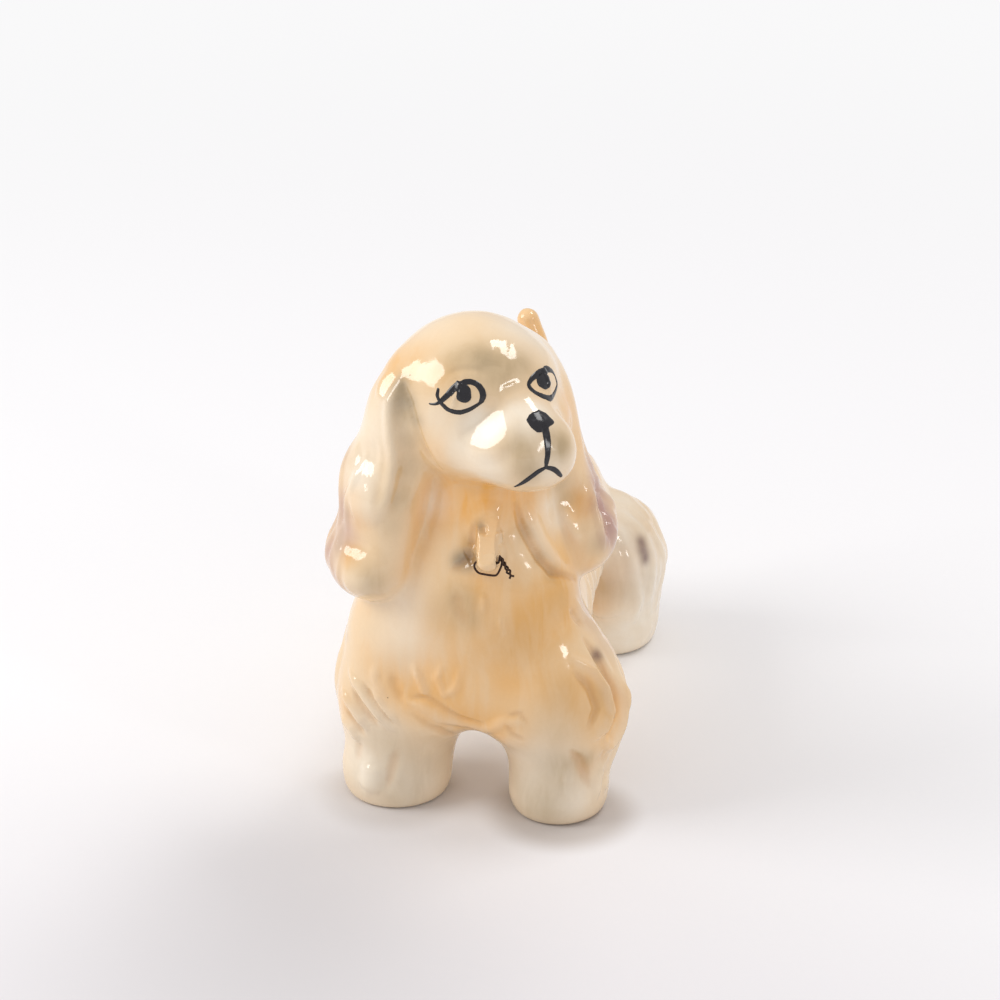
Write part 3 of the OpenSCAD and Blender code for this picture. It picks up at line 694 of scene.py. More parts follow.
def rod(bm, first, second, first_r, second_r):
    """Adds a tapered limb with rounded ends to a bmesh."""
    run = Vector(second) - Vector(first)
    middle = (Vector(first) + Vector(second)) / 2
    matrix = Matrix.Translation(middle) @ run.to_track_quat("Z", "Y").to_matrix().to_4x4()
    bmesh.ops.create_cone(bm, cap_ends=True, segments=32, radius1=first_r, radius2=second_r,
                          depth=run.length, matrix=matrix)
    lump(bm, first, (first_r,) * 3, 0)
    lump(bm, second, (second_r,) * 3, 0)


# Ring of small lumps that the lug starts from
EYELET_LUMPS = 16
EYELET_R = 1.5


def rough_figure():
    """Closed lumps of clay for the whole figure, in millimetres, before they are worked together."""
    bm = bmesh.new()
    for row in BODY_EGGS:
        lump(bm, row[:3], row[3:], 0)
    for row in BODY_LIMBS + TAIL_LIMBS:
        rod(bm, row[:3], row[3:6], row[6], row[7])
    for row in HEAD_EGGS + LEFT_EAR_EGGS + RIGHT_EAR_EGGS:
        lump(bm, from_head(row[:3])[0], row[3:], HEAD_TURN)
    for row in LEFT_EAR_LIMBS + RIGHT_EAR_LIMBS:
        rod(bm, from_head(row[:3])[0], from_head(row[3:6])[0], row[6], row[7])
    # The lug starts as an eyelet with a web up to the chest and one behind it, so that its bore stays open
    x, y, z = BORE_AT
    for step in range(EYELET_LUMPS):
        angle = 2 * math.pi * step / EYELET_LUMPS
        lump(bm, (x, y + EYELET_R * math.cos(angle), z + EYELET_R * math.sin(angle)), (1.6, 0.7, 0.7), 0)
    rod(bm, (x - 1.2, y + 6, z + 6.2), (x - 0.4, y + 1.8, z + 2.2), 1.9, 1.2)
    rod(bm, (x, y + 2.6, z), (x, y + 5, z - 0.4), 1.2, 2.2)
    for vert in bm.verts:
        vert.co.z = max(vert.co.z, 0)
    bmesh.ops.scale(bm, verts=bm.verts, vec=(MM, MM, MM))
    return made(bm, "rough figure")


def joined_groups(items, beside):
    """Groups of items that hang together, where beside gives the neighbours of one."""
    left = set(items)
    groups = []
    while left:
        group, reach = [], [left.pop()]
        while reach:
            item = reach.pop()
            group.append(item)
            for other in beside(item):
                if other in left:
                    left.discard(other)
                    reach.append(other)
        groups.append(group)
    return groups


def face_islands(faces):
    """Sets of faces that hang together by their edges."""
    groups = joined_groups(faces, lambda face: [other for edge in face.edges for other in edge.link_faces])
    return [set(group) for group in groups]


def boundary_loops(bm):
    """Groups of connected boundary edges."""
    rims = [edge for edge in bm.edges if edge.is_boundary]
    return joined_groups(rims, lambda edge: [other for vert in edge.verts for other in vert.link_edges])


def worked(mesh, voxel):
    """One closed net over a mesh of lumps."""
    rough = new_object("rough figure", mesh)
    remesh = rough.modifiers.new("net", "REMESH")
    remesh.mode = "VOXEL"
    remesh.voxel_size = voxel
    graph = bpy.context.evaluated_depsgraph_get()
    net = bpy.data.meshes.new_from_object(rough.evaluated_get(graph))
    bpy.data.objects.remove(rough)
    bpy.data.meshes.remove(mesh)
    with edited(net) as bm:
        outer = max(face_islands(bm.faces), key=len)
        bmesh.ops.delete(bm, geom=list(set(bm.faces) - outer), context="FACES")
    return net


def relaxed(mesh, rounds):
    """Evens out the net of a mesh."""
    with edited(mesh) as bm:
        for _ in range(rounds):
            bmesh.ops.smooth_vert(bm, verts=bm.verts, factor=0.5, use_axis_x=True, use_axis_y=True,
                                  use_axis_z=True)


def refined(mesh, centre, radius):
    """Halves the net twice around a small feature."""
    middle = Vector(centre) * MM
    with edited(mesh) as bm:
        for share in (1.0, 0.85):
            near = [e for e in bm.edges if all((v.co - middle).length < share * radius * MM for v in e.verts)]
            bmesh.ops.subdivide_edges(bm, edges=near, cuts=1, use_grid_fill=True)


def bored_lug(mesh):
    """Opens the lug's bore, which the net closes in the middle, with a straight wall between its mouths."""
    middle = Vector(BORE_AT) * MM
    with edited(mesh) as bm:
        inside = []
        for face in bm.faces:
            away = face.calc_center_median() - middle
            if abs(away.x) < BORE_HALF * MM and math.hypot(away.y, away.z) < BORE_MOUTH * BORE_R * MM:
                inside.append(face)
        bmesh.ops.delete(bm, geom=inside, context="FACES")
        bmesh.ops.bridge_loops(bm, edges=[e for e in bm.edges if e.is_boundary])
        bmesh.ops.recalc_face_normals(bm, faces=bm.faces)
        if not all(e.is_manifold for e in bm.edges):
            raise RuntimeError("the bore of the lug has an open rim")


def bored_drain(mesh):
    """Opens the drain hole in the belly, with the cast wall's thickness and a dark hollow above it."""
    x, y = MIDDLE_X * MM, MIDDLE_Y * MM

    def in_hole(face):
        middle = face.calc_center_median()
        facing = face.normal.z < -0.5 and BELLY_LOW * MM < middle.z < BELLY_HIGH * MM
        return facing and math.hypot(middle.x - x, middle.y - y) < DRAIN_R * MM

    with edited(mesh) as bm:
        inside = [face for face in bm.faces if in_hole(face)]
        if not inside:
            raise RuntimeError("the belly has no faces where its drain hole should be")
        bmesh.ops.delete(bm, geom=inside, context="FACES")
        rim = [e for e in bm.edges if e.is_boundary]
        for vert in {v for e in rim for v in e.verts}:
            away = Vector((vert.co.x - x, vert.co.y - y)).normalized() * DRAIN_R * MM
            vert.co.x, vert.co.y = x + away.x, y + away.y
        for rise, spread in DRAIN_RINGS:
            grown = bmesh.ops.extrude_edge_only(bm, edges=rim)["geom"]
            rim = [e for e in only(bmesh.types.BMEdge, grown) if e.is_boundary]
            ends = list({v for e in rim for v in e.verts})
            bmesh.ops.translate(bm, verts=ends, vec=(0, 0, rise * MM))
            bmesh.ops.scale(bm, verts=ends, vec=(spread, spread, 1), space=Matrix.Translation((-x, -y, 0)))
        bmesh.ops.holes_fill(bm, edges=rim, sides=0)


# Name of each casting's piece, its node and its slot
CASTINGS = [
    ("glazed_body", "body_casting", "glaze_body"),
    ("glazed_head", "head_casting", "glaze_face"),
    ("glazed_left_ear", "left_ear", "glaze_ear"),
    ("glazed_right_ear", "right_ear", "glaze_ear"),
    ("glazed_tail", "tail", "glaze_body"),
    ("glazed_lug", "chest_lug", "glaze_body"),
]


# How far a casting's rims are turned in under its neighbour
TUCK = 1.2


def closed_inside(bm):
    """Turns the open rims of a piece in under its neighbour and closes them there."""
    bm.normal_update()
    for rim in boundary_loops(bm):
        inward = {v: v.normal.copy() for e in rim for v in e.verts}
        grown = bmesh.ops.extrude_edge_only(bm, edges=rim)["geom"]
        ends = only(bmesh.types.BMVert, grown)
        for vert in ends:
            old = next(e.other_vert(vert) for e in vert.link_edges if e.other_vert(vert) in inward)
            vert.co -= inward[old] * (TUCK * MM)
        lip = [e for e in only(bmesh.types.BMEdge, grown) if e.is_boundary]
        middle = sum((v.co for v in ends), Vector()) / len(ends)
        grown = bmesh.ops.extrude_edge_only(bm, edges=lip)["geom"]
        bmesh.ops.pointmerge(bm, verts=only(bmesh.types.BMVert, grown), merge_co=middle)


def split_casting(mesh, labels, number, name):
    """The faces of one casting as a closed mesh that keeps the whole figure's shading at its rims."""
    bm = bmesh.new()
    bm.from_mesh(mesh)
    bm.faces.ensure_lookup_table()
    layer = bm.verts.layers.float_vector["flow"]
    bmesh.ops.delete(bm, geom=[f for f in bm.faces if labels[f.index] != number], context="FACES")
    own = len(bm.verts)
    closed_inside(bm)
    bm.verts.ensure_lookup_table()
    bm.verts.index_update()
    for vert in bm.verts[own:]:
        vert[layer] = (0, 0, 0)
    piece = made(bm, name)
    shade_smooth(piece)
    piece.normals_split_custom_set_from_vertices(vectors(piece.attributes["flow"].data, "vector"))
    return piece


def even_labels(mesh, labels):
    """Labels of the faces with stray islands given to what surrounds them."""
    bm = bmesh.new()
    bm.from_mesh(mesh)
    bm.faces.ensure_lookup_table()
    labels = list(labels)
    for number in range(len(CASTINGS)):
        islands = sorted(face_islands([f for f in bm.faces if labels[f.index] == number]), key=len)
        for group in islands[:-1]:
            around = [labels[o.index] for f in group for e in f.edges for o in e.link_faces if o not in group]
            for face in group:
                labels[face.index] = max(set(around), key=around.count)
    bm.free()
    return labels


def maths(operation, reflected=False):
    """A method of Value that adds one Math node."""
    def method(value, other):
        first, second = (other, value) if reflected else (value, other)
        return value.combine(operation, first, second)
    return method


class Value:
    """A shader socket that takes part in Python expressions."""

    def __init__(self, tree, socket):
        self.tree = tree
        self.socket = socket

    def combine(self, operation, first, second):
        node = self.tree.nodes.new("ShaderNodeMath")
        node.operation = operation
        for socket, value in zip(node.inputs, (first, second)):
            if isinstance(value, Value):
                self.tree.links.new(value.socket, socket)
            else:
                socket.default_value = value
        return Value(self.tree, node.outputs[0])

    __add__ = maths("ADD")
    __radd__ = maths("ADD", reflected=True)
    __sub__ = maths("SUBTRACT")
    __rsub__ = maths("SUBTRACT", reflected=True)
    __mul__ = maths("MULTIPLY")
    __rmul__ = maths("MULTIPLY", reflected=True)
    __gt__ = maths("GREATER_THAN")
    __lt__ = maths("LESS_THAN")
    at_least = maths("MAXIMUM")
    at_most = maths("MINIMUM")

    def share(self):
        """The value held between 0 and 1."""
        return self.at_least(0.0).at_most(1.0)


class Finish:
    """A material with one Principled shader and the nodes that feed it."""

    def __init__(self, name):
        self.material = bpy.data.materials.new(name)
        self.material.use_nodes = True
        self.tree = self.material.node_tree
        self.tree.nodes.clear()
        self.shader = self.node("ShaderNodeBsdfPrincipled", {}, {})
        self.output = self.node("ShaderNodeOutputMaterial", {}, {"Surface": self.shader.outputs[0]})
        self.place = self.node("ShaderNodeTexCoord", {}, {}).outputs["Object"]

    def node(self, kind, settings, values):
        """Any other node, with its settings first and then its sockets' values or links."""
        node = self.tree.nodes.new(kind)
        for name, value in settings.items():
            setattr(node, name, value)
        for name, value in values.items():
            self.feed(node.inputs[name], value)
        return node

    def feed(self, socket, value):
        if isinstance(value, Value):
            self.tree.links.new(value.socket, socket)
        elif isinstance(value, bpy.types.NodeSocket):
            self.tree.links.new(value, socket)
        elif isinstance(value, (tuple, list)) and socket.type == "RGBA":
            socket.default_value = (*value[:3], 1)
        else:
            socket.default_value = value

    def set(self, **values):
        """Feeds the shader's sockets, named with underscores for spaces."""
        for name, value in values.items():
            self.feed(self.shader.inputs[name.replace("_", " ")], value)

    def attribute(self, name):
        return Value(self.tree, self.node("ShaderNodeAttribute", {"attribute_name": name}, {}).outputs["Fac"])

    def noise(self, scale, detail=2.0, roughness=0.5):
        node = self.node("ShaderNodeTexNoise", {}, {"Vector": self.place, "Scale": scale, "Detail": detail,
                                                    "Roughness": roughness})
        return Value(self.tree, node.outputs["Fac"])

    def mix(self, share, first, second, blend="MIX"):
        node = self.node("ShaderNodeMix", {"data_type": "RGBA", "blend_type": blend, "clamp_factor": True},
                         {0: share, 6: first, 7: second})
        return node.outputs[2]

    def smooth_step(self, value, start, end):
        """0 to 1 as a value goes from start to end."""
        node = self.node("ShaderNodeMapRange", {"interpolation_type": "SMOOTHSTEP"},
                         {"Value": value, "From Min": start, "From Max": end})
        return Value(self.tree, node.outputs[0])

    def reach(self, point, start, end):
        """0 to 1 with the distance from a point, from start to end in metres."""
        apart = self.node("ShaderNodeVectorMath", {"operation": "DISTANCE"}, {0: self.place, 1: point})
        return self.smooth_step(apart.outputs["Value"], start, end)

    def bump(self, height, distance, strength, normal=None):
        values = {"Height": height, "Distance": distance, "Strength": strength}
        if normal is not None:
            values["Normal"] = normal
        return self.node("ShaderNodeBump", {}, values).outputs["Normal"]


def glaze_finish(name, tones):
    """Airbrushed tones, painted shade and a painted highlight under a clear glossy glaze that pools in the
    hollows of the hair.
    """
    finish = Finish(name)
    cloud = finish.noise(230, 3.0)
    grain = finish.noise(1500, 2.0)
    uneven = 0.72 + 0.56 * cloud
    drawn = finish.node("ShaderNodeMapping", {}, {"Vector": finish.place, "Scale": (1.0, 1.0, 0.24)})
    runs = finish.node("ShaderNodeTexNoise", {}, {"Vector": drawn.outputs[0], "Scale": 250.0, "Detail": 3.0,
                                                  "Roughness": 0.55, "Distortion": 0.6})
    streak = finish.smooth_step(runs.outputs["Fac"], 0.34, 0.66)
    sprayed = finish.attribute("amber")
    thick = (sprayed * (0.78 + 0.36 * streak) + 0.07 * streak).at_most(1.0)
    colour = finish.mix(thick, tuple(tones.cream), tuple(tones.amber))
    # The white tone also carries a painted highlight, and the olive grey and slate tones carry painted shade
    patchy = {"white": uneven, "smoke": 0.84 + 0.32 * streak, "mauve": uneven, "slate": uneven}
    for tone_name, cover in patchy.items():
        colour = finish.mix(finish.attribute(tone_name) * cover, colour, tuple(getattr(tones, tone_name)))
    relief = finish.attribute("relief")
    colour = finish.mix((relief * -1.6).share() * 0.55, colour, tuple(tones.pool))
    colour = finish.mix((relief * 0.9).share() * 0.4, colour, tuple(tones.white))
    colour = finish.mix(finish.attribute("umber") * uneven, colour, tuple(tones.umber))
    cells = finish.node("ShaderNodeTexVoronoi", {}, {"Vector": finish.place, "Scale": 210.0,
                                                     "Randomness": 1.0})
    drawn_cell = finish.node("ShaderNodeSeparateColor", {}, {"Color": cells.outputs["Color"]})
    dot = Value(finish.tree, cells.outputs["Distance"]) < 0.045
    chosen = Value(finish.tree, drawn_cell.outputs[0]) > 0.8
    colour = finish.mix(dot * chosen * 0.75, colour, tuple(tones.speck))
    tint = finish.mix(grain * 0.1, (1, 1, 1), (0.6, 0.55, 0.5))
    colour = finish.mix(1.0, colour, tint, "MULTIPLY")
    ripple = finish.bump(finish.noise(420, 2.0), 0.0001, tones.ripple)
    finish.set(Base_Color=colour, Roughness=0.05 + 0.09 * cloud)
    finish.set(Normal=finish.bump(grain, 0.00001, 0.35, ripple))
    finish.set(IOR=tones.glass, Specular_IOR_Level=0.5)
    return finish.material


class FigurineGlaze(bpy.types.PropertyGroup):
    """Tones of the airbrushed glaze, with painted shade in the olive grey and the slate, and a painted
    highlight in the white.
    """

    cream: tone("Cream", "Body of the glaze", 240, 211, 170)
    amber: tone("Amber", "Sprayed amber", 240, 177, 84)
    # Olive grey, which also paints shade on the feet and lower legs
    smoke: tone("Smoke", "Sprayed olive grey", 178, 154, 114)
    mauve: tone("Mauve", "Sprayed mauve on the ears", 186, 146, 140)
    # Slate paints shade in the ear's valley, the dents and round the lug's bore, and greys the forehead
    slate: tone("Slate", "Grey glaze in the deepest dents", 124, 114, 94)
    umber: tone("Umber", "Brown spots on the coat", 112, 78, 70)
    # White is bare clay, and it also paints the highlight on the cheek beside the muzzle and lightens the
    # shaded crease of the neck
    white: tone("White", "Bare white clay", 250, 240, 222)
    pool: tone("Pool", "Glaze pooled in hollows", 204, 148, 78)
    speck: tone("Speck", "Iron specks", 96, 70, 48)
    ripple: FloatProperty(name="Ripple", description="Unevenness of the gloss", subtype="FACTOR",
                          min=0, max=1, default=0.5)
    glass: FloatProperty(name="Glass", description="Refraction of the clear glaze", min=1.3, max=1.8,
                         default=1.7)


class FigurineClay(bpy.types.PropertyGroup):
    """Working of the clay."""

    net: metres("Net", "Size of the net over the figure", 0.0003, 0.002, 0.0005)
    hair: FloatProperty(name="Hair", description="Depth of the modelled hair, as a share", subtype="FACTOR",
                        min=0, max=2, default=1.0)
    wave: metres("Wave", "Unevenness of the hand-finished clay", 0, 0.0005, 0.00009)


class FigurineBrush(bpy.types.PropertyGroup):
    """Brushed enamel of the face."""

    film: metres("Film", "Height of the enamel over the glaze", 0.00005, 0.0004, 0.00016)
    black: tone("Black", "Enamel", 24, 23, 27)


class FigurineWire(bpy.types.PropertyGroup):
    """Wire of the ring."""

    thickness: metres("Thickness", "Thickness of the wire", 0.0003, 0.0005, 0.0004)
    iron: tone("Iron", "Dark oxidised wire", 52, 42, 38)


class FigurineStudio(bpy.types.PropertyGroup):
    """Floor and lights."""

    floor: tone("Floor", "Paper floor", 243, 243, 245)
    ambient: FloatProperty(name="Ambient", description="Light from all round", min=0, max=2, default=0.66)
    key: FloatProperty(name="Key", description="Window light from the left, in watts", min=0, max=40,
                       default=3.7)


# Working of the clay: the first net against the last, rounds of evening out, and steps on to the surface
FIRST_NET = 1.6
EVEN_ROUNDS = 2
SETTLE_STEPS = 3
STROKE_STEPS = 6
# Reach of the finer net round the lug's bore
FINE_REACH = 7.5
# Where hair and waves begin, away from the bore and above the soles, and over what length they come in
QUIET_FROM, QUIET_OVER = 2.5, 2
SOLE_FROM, SOLE_OVER = 0.3, 2.5
# Length, seed and share of the slow waves in the clay, and how they grow towards the rump
WAVES = ((9, 3, 1.0), (3.2, 5, 0.25))
REAR_GROWTH, REAR_FROM, REAR_OVER = 2.5, 8, 15


class FIGURINE_OT_castings(bpy.types.Operator):
    """Model the six glazed castings as one seamless figure and part them"""

    bl_idname = "figurine.castings"
    bl_label = "Glazed castings"

    def execute(self, context):
        clay = context.scene.figurine_clay
        mesh = worked(rough_figure(), FIRST_NET * clay.net)
        relaxed(mesh, EVEN_ROUNDS)
        place(mesh, settle(figure_depth, coordinates(mesh), SETTLE_STEPS))
        mesh = worked(mesh, clay.net)
        place(mesh, settle(figure_depth, coordinates(mesh), 1))
        relaxed(mesh, EVEN_ROUNDS)
        refined(mesh, BORE_AT, FINE_REACH)
        place(mesh, settle(figure_depth, coordinates(mesh), SETTLE_STEPS))
        bored_lug(mesh)
        points = coordinates(mesh)
        normals = vectors(mesh.vertex_normals, "vector")

        def laid(rows):
            return settle(figure_depth, rows, STROKE_STEPS)

        strokes = [(wide, high, laid(np.array(path, float))) for wide, high, path in FRONT_STROKES]
        strokes += coat_strokes()
        folds = [(wide, high, laid(from_head(path))) for wide, high, path in HEAD_STROKES]
        relief = hair_relief(points, strokes + folds) * clay.hair
        flats = pressed(points, normals) * clay.hair
        ground = np.clip((points[:, 2] - SOLE_FROM) / SOLE_OVER, 0, 1)
        lug = np.linalg.norm(points - BORE_AT, axis=1)
        quiet = np.clip((lug - QUIET_FROM) / QUIET_OVER, 0, 1)
        wave = sum(hand_wave(points, long, seed) * clay.wave / MM * share for long, seed, share in WAVES)
        wave *= 1 + REAR_GROWTH * np.clip((points[:, 1] - REAR_FROM) / REAR_OVER, 0, 1)
        place(mesh, points + normals * (((relief + wave) * quiet + flats) * ground)[:, None])
        bored_drain(mesh)
        points = coordinates(mesh)
        raised = hair_relief(points, strokes) + np.maximum(hair_relief(points, folds), 0)
        add_float(mesh, "relief", raised * clay.hair)
        for tone_name, dabs in SPRAY.items():
            add_float(mesh, tone_name, spray_mask(points, dabs))
        flow = vectors(mesh.vertex_normals, "vector")
        layer = mesh.attributes.new("flow", "FLOAT_VECTOR", "POINT")
        layer.data.foreach_set("vector", flow.astype(np.float32).ravel())
        centres = vectors(mesh.polygons, "center") / MM
        labels = np.argmin(np.stack(casting_depths(centres), 1), axis=1)
        labels = even_labels(mesh, labels)
        finishes = {}
        for number, (name, node, slot) in enumerate(CASTINGS):
            piece = new_object(name, split_casting(mesh, labels, number, name))
            if slot not in finishes:
                finishes[slot] = glaze_finish(slot.replace("_", " "), context.scene.figurine_glaze)
            finished(piece, finishes[slot], FIGURE, node)
        bpy.data.meshes.remove(mesh)
        return {"FINISHED"}


# Brush work in the frame of the head: strokes of [x, z, width], and the outline of the nose
NOSE_OUTLINE = [
    (-0.3, 2), (0.4, 2.5), (1.2, 2.75), (2.5, 2.8), (3.6, 2.2), (4.5, 1.05), (3.2, 0.95), (2.6, 0.55),
    (1.7, 0.45), (0.7, 0.55), (0, 1.2),
]
MOUTH_STROKES = [
    [(2.3, 1.2, 1.5), (2.25, -0.5, 1.45), (2.1, -2, 1.25), (1.9, -3.4, 1.05), (1.6, -4.6, 0.95),
     (1.4, -5.7, 0.6)],
    [(1.5, -5.7, 0.6), (0, -6.3, 0.95), (-1.3, -7.3, 1), (-2.4, -8.5, 0.8), (-3.3, -9.7, 0.3)],
    [(1.3, -5.7, 0.6), (2.6, -6.2, 0.9), (3.6, -7, 0.95), (4.8, -8.4, 0.6)],
]
RIGHT_EYE_STROKES = [
    [(-12.7, 4, 0.55), (-11.9, 5.1, 0.72), (-10.8, 6.5, 0.8), (-9.7, 7.4, 0.85), (-8.6, 7.8, 0.85),
     (-7.6, 7.8, 0.9), (-6.8, 7.4, 1), (-6.3, 6.6, 1.1), (-6.2, 5.6, 1.1), (-6.5, 4.6, 0.95)],
    [(-12.7, 4, 0.55), (-12.3, 3.5, 0.65), (-11.7, 2.9, 0.75), (-10.4, 2.6, 0.85), (-8.5, 3.1, 0.85),
     (-6.8, 4.2, 0.7), (-6.5, 4.6, 0.9)],
    [(-12.7, 4, 0.5), (-13.3, 3.5, 0.45), (-13.9, 3.3, 0.35)],
    [(-12.7, 4, 0.5), (-12.9, 5, 0.45), (-12.6, 6.2, 0.3)],
]
RIGHT_PUPIL_STROKES = [[(-9.25, 6.5, 2.4), (-9.35, 5.6, 2.4)]]
LEFT_EYE_STROKES = [
    [(2.5, 6.2, 0.75), (3.4, 6.9, 0.9), (4.6, 7.2, 1.05), (6, 7.3, 1.1), (7.6, 7.1, 1), (8.9, 6.3, 0.6),
     (9.6, 5.4, 0.4), (10, 4.4, 0.4), (10.2, 3.4, 0.55), (9.5, 2.9, 0.75), (8.3, 2.6, 0.85), (6.9, 2.8, 0.85),
     (5.6, 3.5, 0.7), (4.3, 4.3, 0.6), (3.2, 5.1, 0.6), (2.5, 6.2, 0.75)],
]
LEFT_PUPIL_STROKES = [[(5.7, 6.2, 2.5), (6.5, 5.6, 2.4)]]
ENAMEL = [
    ("brushed_nose", "nose_enamel", [], NOSE_OUTLINE),
    ("brushed_mouth", "mouth_enamel", MOUTH_STROKES, []),
    ("brushed_left_eye", "left_eye_enamel", LEFT_EYE_STROKES, []),
    ("brushed_left_pupil", "left_pupil_enamel", LEFT_PUPIL_STROKES, []),
    ("brushed_right_eye", "right_eye_enamel", RIGHT_EYE_STROKES, []),
    ("brushed_right_pupil", "right_pupil_enamel", RIGHT_PUPIL_STROKES, []),
]
BRUSH_STEP = 0.075
# Points between two marks of a stroke, as a share of the way
STROKE_SHARE = 0.2
# How far an outline swells past its marks, and how far round a stroke lines are cast on the face
OUTLINE_SWELL = 0.2
CAST_REACH = 0.4
# Start of those lines, in front of the face
CAST_FROM = -40.0
# Waver of a stroke's edge: its height, its length and its seed
WAVER, WAVER_LENGTH, WAVER_SEED = 0.03, 1.1, 9
# The film's rim outside its stroke, its rounded shoulder, the width and depth of its sunk edge, and its root
FILM_RIM = 0.16
FILM_SHOULDER = 0.2
EDGE_WIDTH = 0.1
EDGE_SINK = 0.09
FILM_ROOT = 0.45
FILM_ROUNDS = 4


def rounded_path(path):
    """A stroke's points with more between them, on a smooth curve."""
    rows = np.array(path, float)
    if len(rows) < 3:
        return rows
    closed = np.allclose(rows[0], rows[-1])
    before = rows[-2] if closed else 2 * rows[0] - rows[1]
    after = rows[1] if closed else 2 * rows[-1] - rows[-2]
    wide = np.vstack([before, rows, after])
    fine = []
    for number in range(len(rows) - 1):
        a, b, c, d = wide[number:number + 4]
        for t in np.arange(0, 1, STROKE_SHARE):
            fine.append(0.5 * (2 * b + (c - a) * t + (2 * a - 5 * b + 4 * c - d) * t ** 2
                               + (3 * b - a - 3 * c + d) * t ** 3))
    fine.append(rows[-1])
    return np.array(fine)


def stroke_depth(points, path):
    """How far points of the face are outside a stroke, negative inside."""
    best = np.full(len(points), 1e9)
    for start, end in zip(path[:-1], path[1:]):
        along, apart = beside_run(points, start[:2], end[:2] - start[:2])
        best = np.minimum(best, apart - (start[2] + along * (end[2] - start[2])) / 2)
    return best


def outline_depth(points, outline):
    """How far points of the face are outside a closed outline, negative inside."""
    ring = np.array(outline + outline[:1], float)
    best = np.full(len(points), 1e9)
    inside = np.zeros(len(points), bool)
    for start, end in zip(ring[:-1], ring[1:]):
        best = np.minimum(best, beside_run(points, start, end - start)[1])
        rise = end[1] - start[1]
        cross = start[0] + (points[:, 1] - start[1]) * (end[0] - start[0]) / (rise if rise else 1e-9)
        inside ^= ((start[1] > points[:, 1]) != (end[1] > points[:, 1])) & (points[:, 0] < cross)
    return np.where(inside, -best, best) - OUTLINE_SWELL


def face_tree():
    """The glazed head and body, ready for lines to be cast on them."""
    verts, faces = [], []
    for name in ("glazed_head", "glazed_body"):
        mesh = bpy.data.objects[name].data
        start = len(verts)
        verts += [v.co.copy() for v in mesh.vertices]
        faces += [[start + i for i in p.vertices] for p in mesh.polygons]
    return BVHTree.FromPolygons(verts, faces)


def brushed(name, strokes, outline, film, tree):
    """A film of enamel over the face, thick in the middle of its strokes and thin at their edges."""
    paths = [rounded_path(path) for path in strokes]
    marks = np.vstack([path[:, :2] for path in paths] + ([np.array(outline)] if outline else []))
    broad = max([path[:, 2].max() for path in paths] + [CAST_REACH])
    low, high = marks.min(0) - broad, marks.max(0) + broad
    count = np.ceil((high - low) / BRUSH_STEP).astype(int)
    bm = bmesh.new()
    bmesh.ops.create_grid(bm, x_segments=int(count[0]), y_segments=int(count[1]), size=1)
    layer = bm.verts.layers.float.new("depth")
    bm.verts.ensure_lookup_table()
    bm.verts.index_update()
    flat = np.array([v.co[:2] for v in bm.verts])
    places = low + (flat + 1) / 2 * (high - low)
    depth = np.full(len(places), 1e9)
    for path in paths:
        depth = np.minimum(depth, stroke_depth(places, path))
    if outline:
        depth = np.minimum(depth, outline_depth(places, outline))
    depth += WAVER * hand_wave(np.column_stack([places, np.zeros(len(places))]), WAVER_LENGTH, WAVER_SEED)
    way = Vector(from_head((0, 1, 0))[0] - HEAD_AT)
    starts = from_head(np.column_stack([places[:, 0], np.full(len(places), CAST_FROM), places[:, 1]]))
    dropped = []
    for vert, start, apart in zip(bm.verts, starts, depth):
        hit = tree.ray_cast(Vector(start) * MM, way)[0] if apart < CAST_REACH else None
        vert[layer] = apart
        if hit is None:
            dropped.append(vert)
        else:
            vert.co = to_head(np.array([hit]) / MM)[0]
    bmesh.ops.delete(bm, geom=dropped, context="VERTS")
    for _ in range(FILM_ROUNDS):
        bmesh.ops.smooth_vert(bm, verts=bm.verts, factor=0.5, use_axis_x=False, use_axis_y=True,
                              use_axis_z=False)
    bmesh.ops.delete(bm, geom=[v for v in bm.verts if v[layer] > FILM_RIM], context="VERTS")
    for vert in bm.verts:
        share = min(max(-vert[layer] / FILM_SHOULDER, 0), 1)
        sunk = min(max(vert[layer] / EDGE_WIDTH, 0), 1)
        vert.co.y -= film / MM * (1 - (1 - share) ** 2) - EDGE_SINK * sunk
    bm.normal_update()
    grown = bmesh.ops.extrude_face_region(bm, geom=bm.faces[:])["geom"]
    bmesh.ops.translate(bm, verts=only(bmesh.types.BMVert, grown), vec=(0, FILM_ROOT, 0))
    matrix = Matrix.Scale(MM, 4) @ Matrix.Translation(HEAD_AT) @ Matrix.Rotation(HEAD_TURN, 4, "Z")
    bmesh.ops.transform(bm, matrix=matrix, verts=bm.verts)
    bmesh.ops.recalc_face_normals(bm, faces=bm.faces)
    mesh = made(bm, name)
    shade_smooth(mesh)
    return new_object(name, mesh)


def enamel_finish(brush):
    """Black enamel with dry brush marks."""
    finish = Finish("black enamel")
    streak = finish.noise(1900, 3.0, 0.6)
    dry = ((finish.noise(700, 2.0) - 0.56) * 4.0).share()
    colour = finish.mix(streak * 0.35, tuple(brush.black), srgb(52, 52, 60))
    finish.set(Base_Color=finish.mix(dry * 0.3, colour, srgb(84, 84, 92)), Roughness=0.12 + 0.25 * dry)
    finish.set(Normal=finish.bump(streak, 0.00002, 0.4), IOR=1.5)
    return finish.material


class FIGURINE_OT_enamel(bpy.types.Operator):
    """Brush the nose, mouth, eyes and pupils on the glazed face"""

    bl_idname = "figurine.enamel"
    bl_label = "Brushed enamel"

    def execute(self, context):
        brush = context.scene.figurine_brush
        material = enamel_finish(brush)
        tree = face_tree()
        for name, node, strokes, outline in ENAMEL:
            piece = brushed(name, strokes, outline, brush.film, tree)
            finished(piece, material, FIGURE, node)
        return {"FINISHED"}


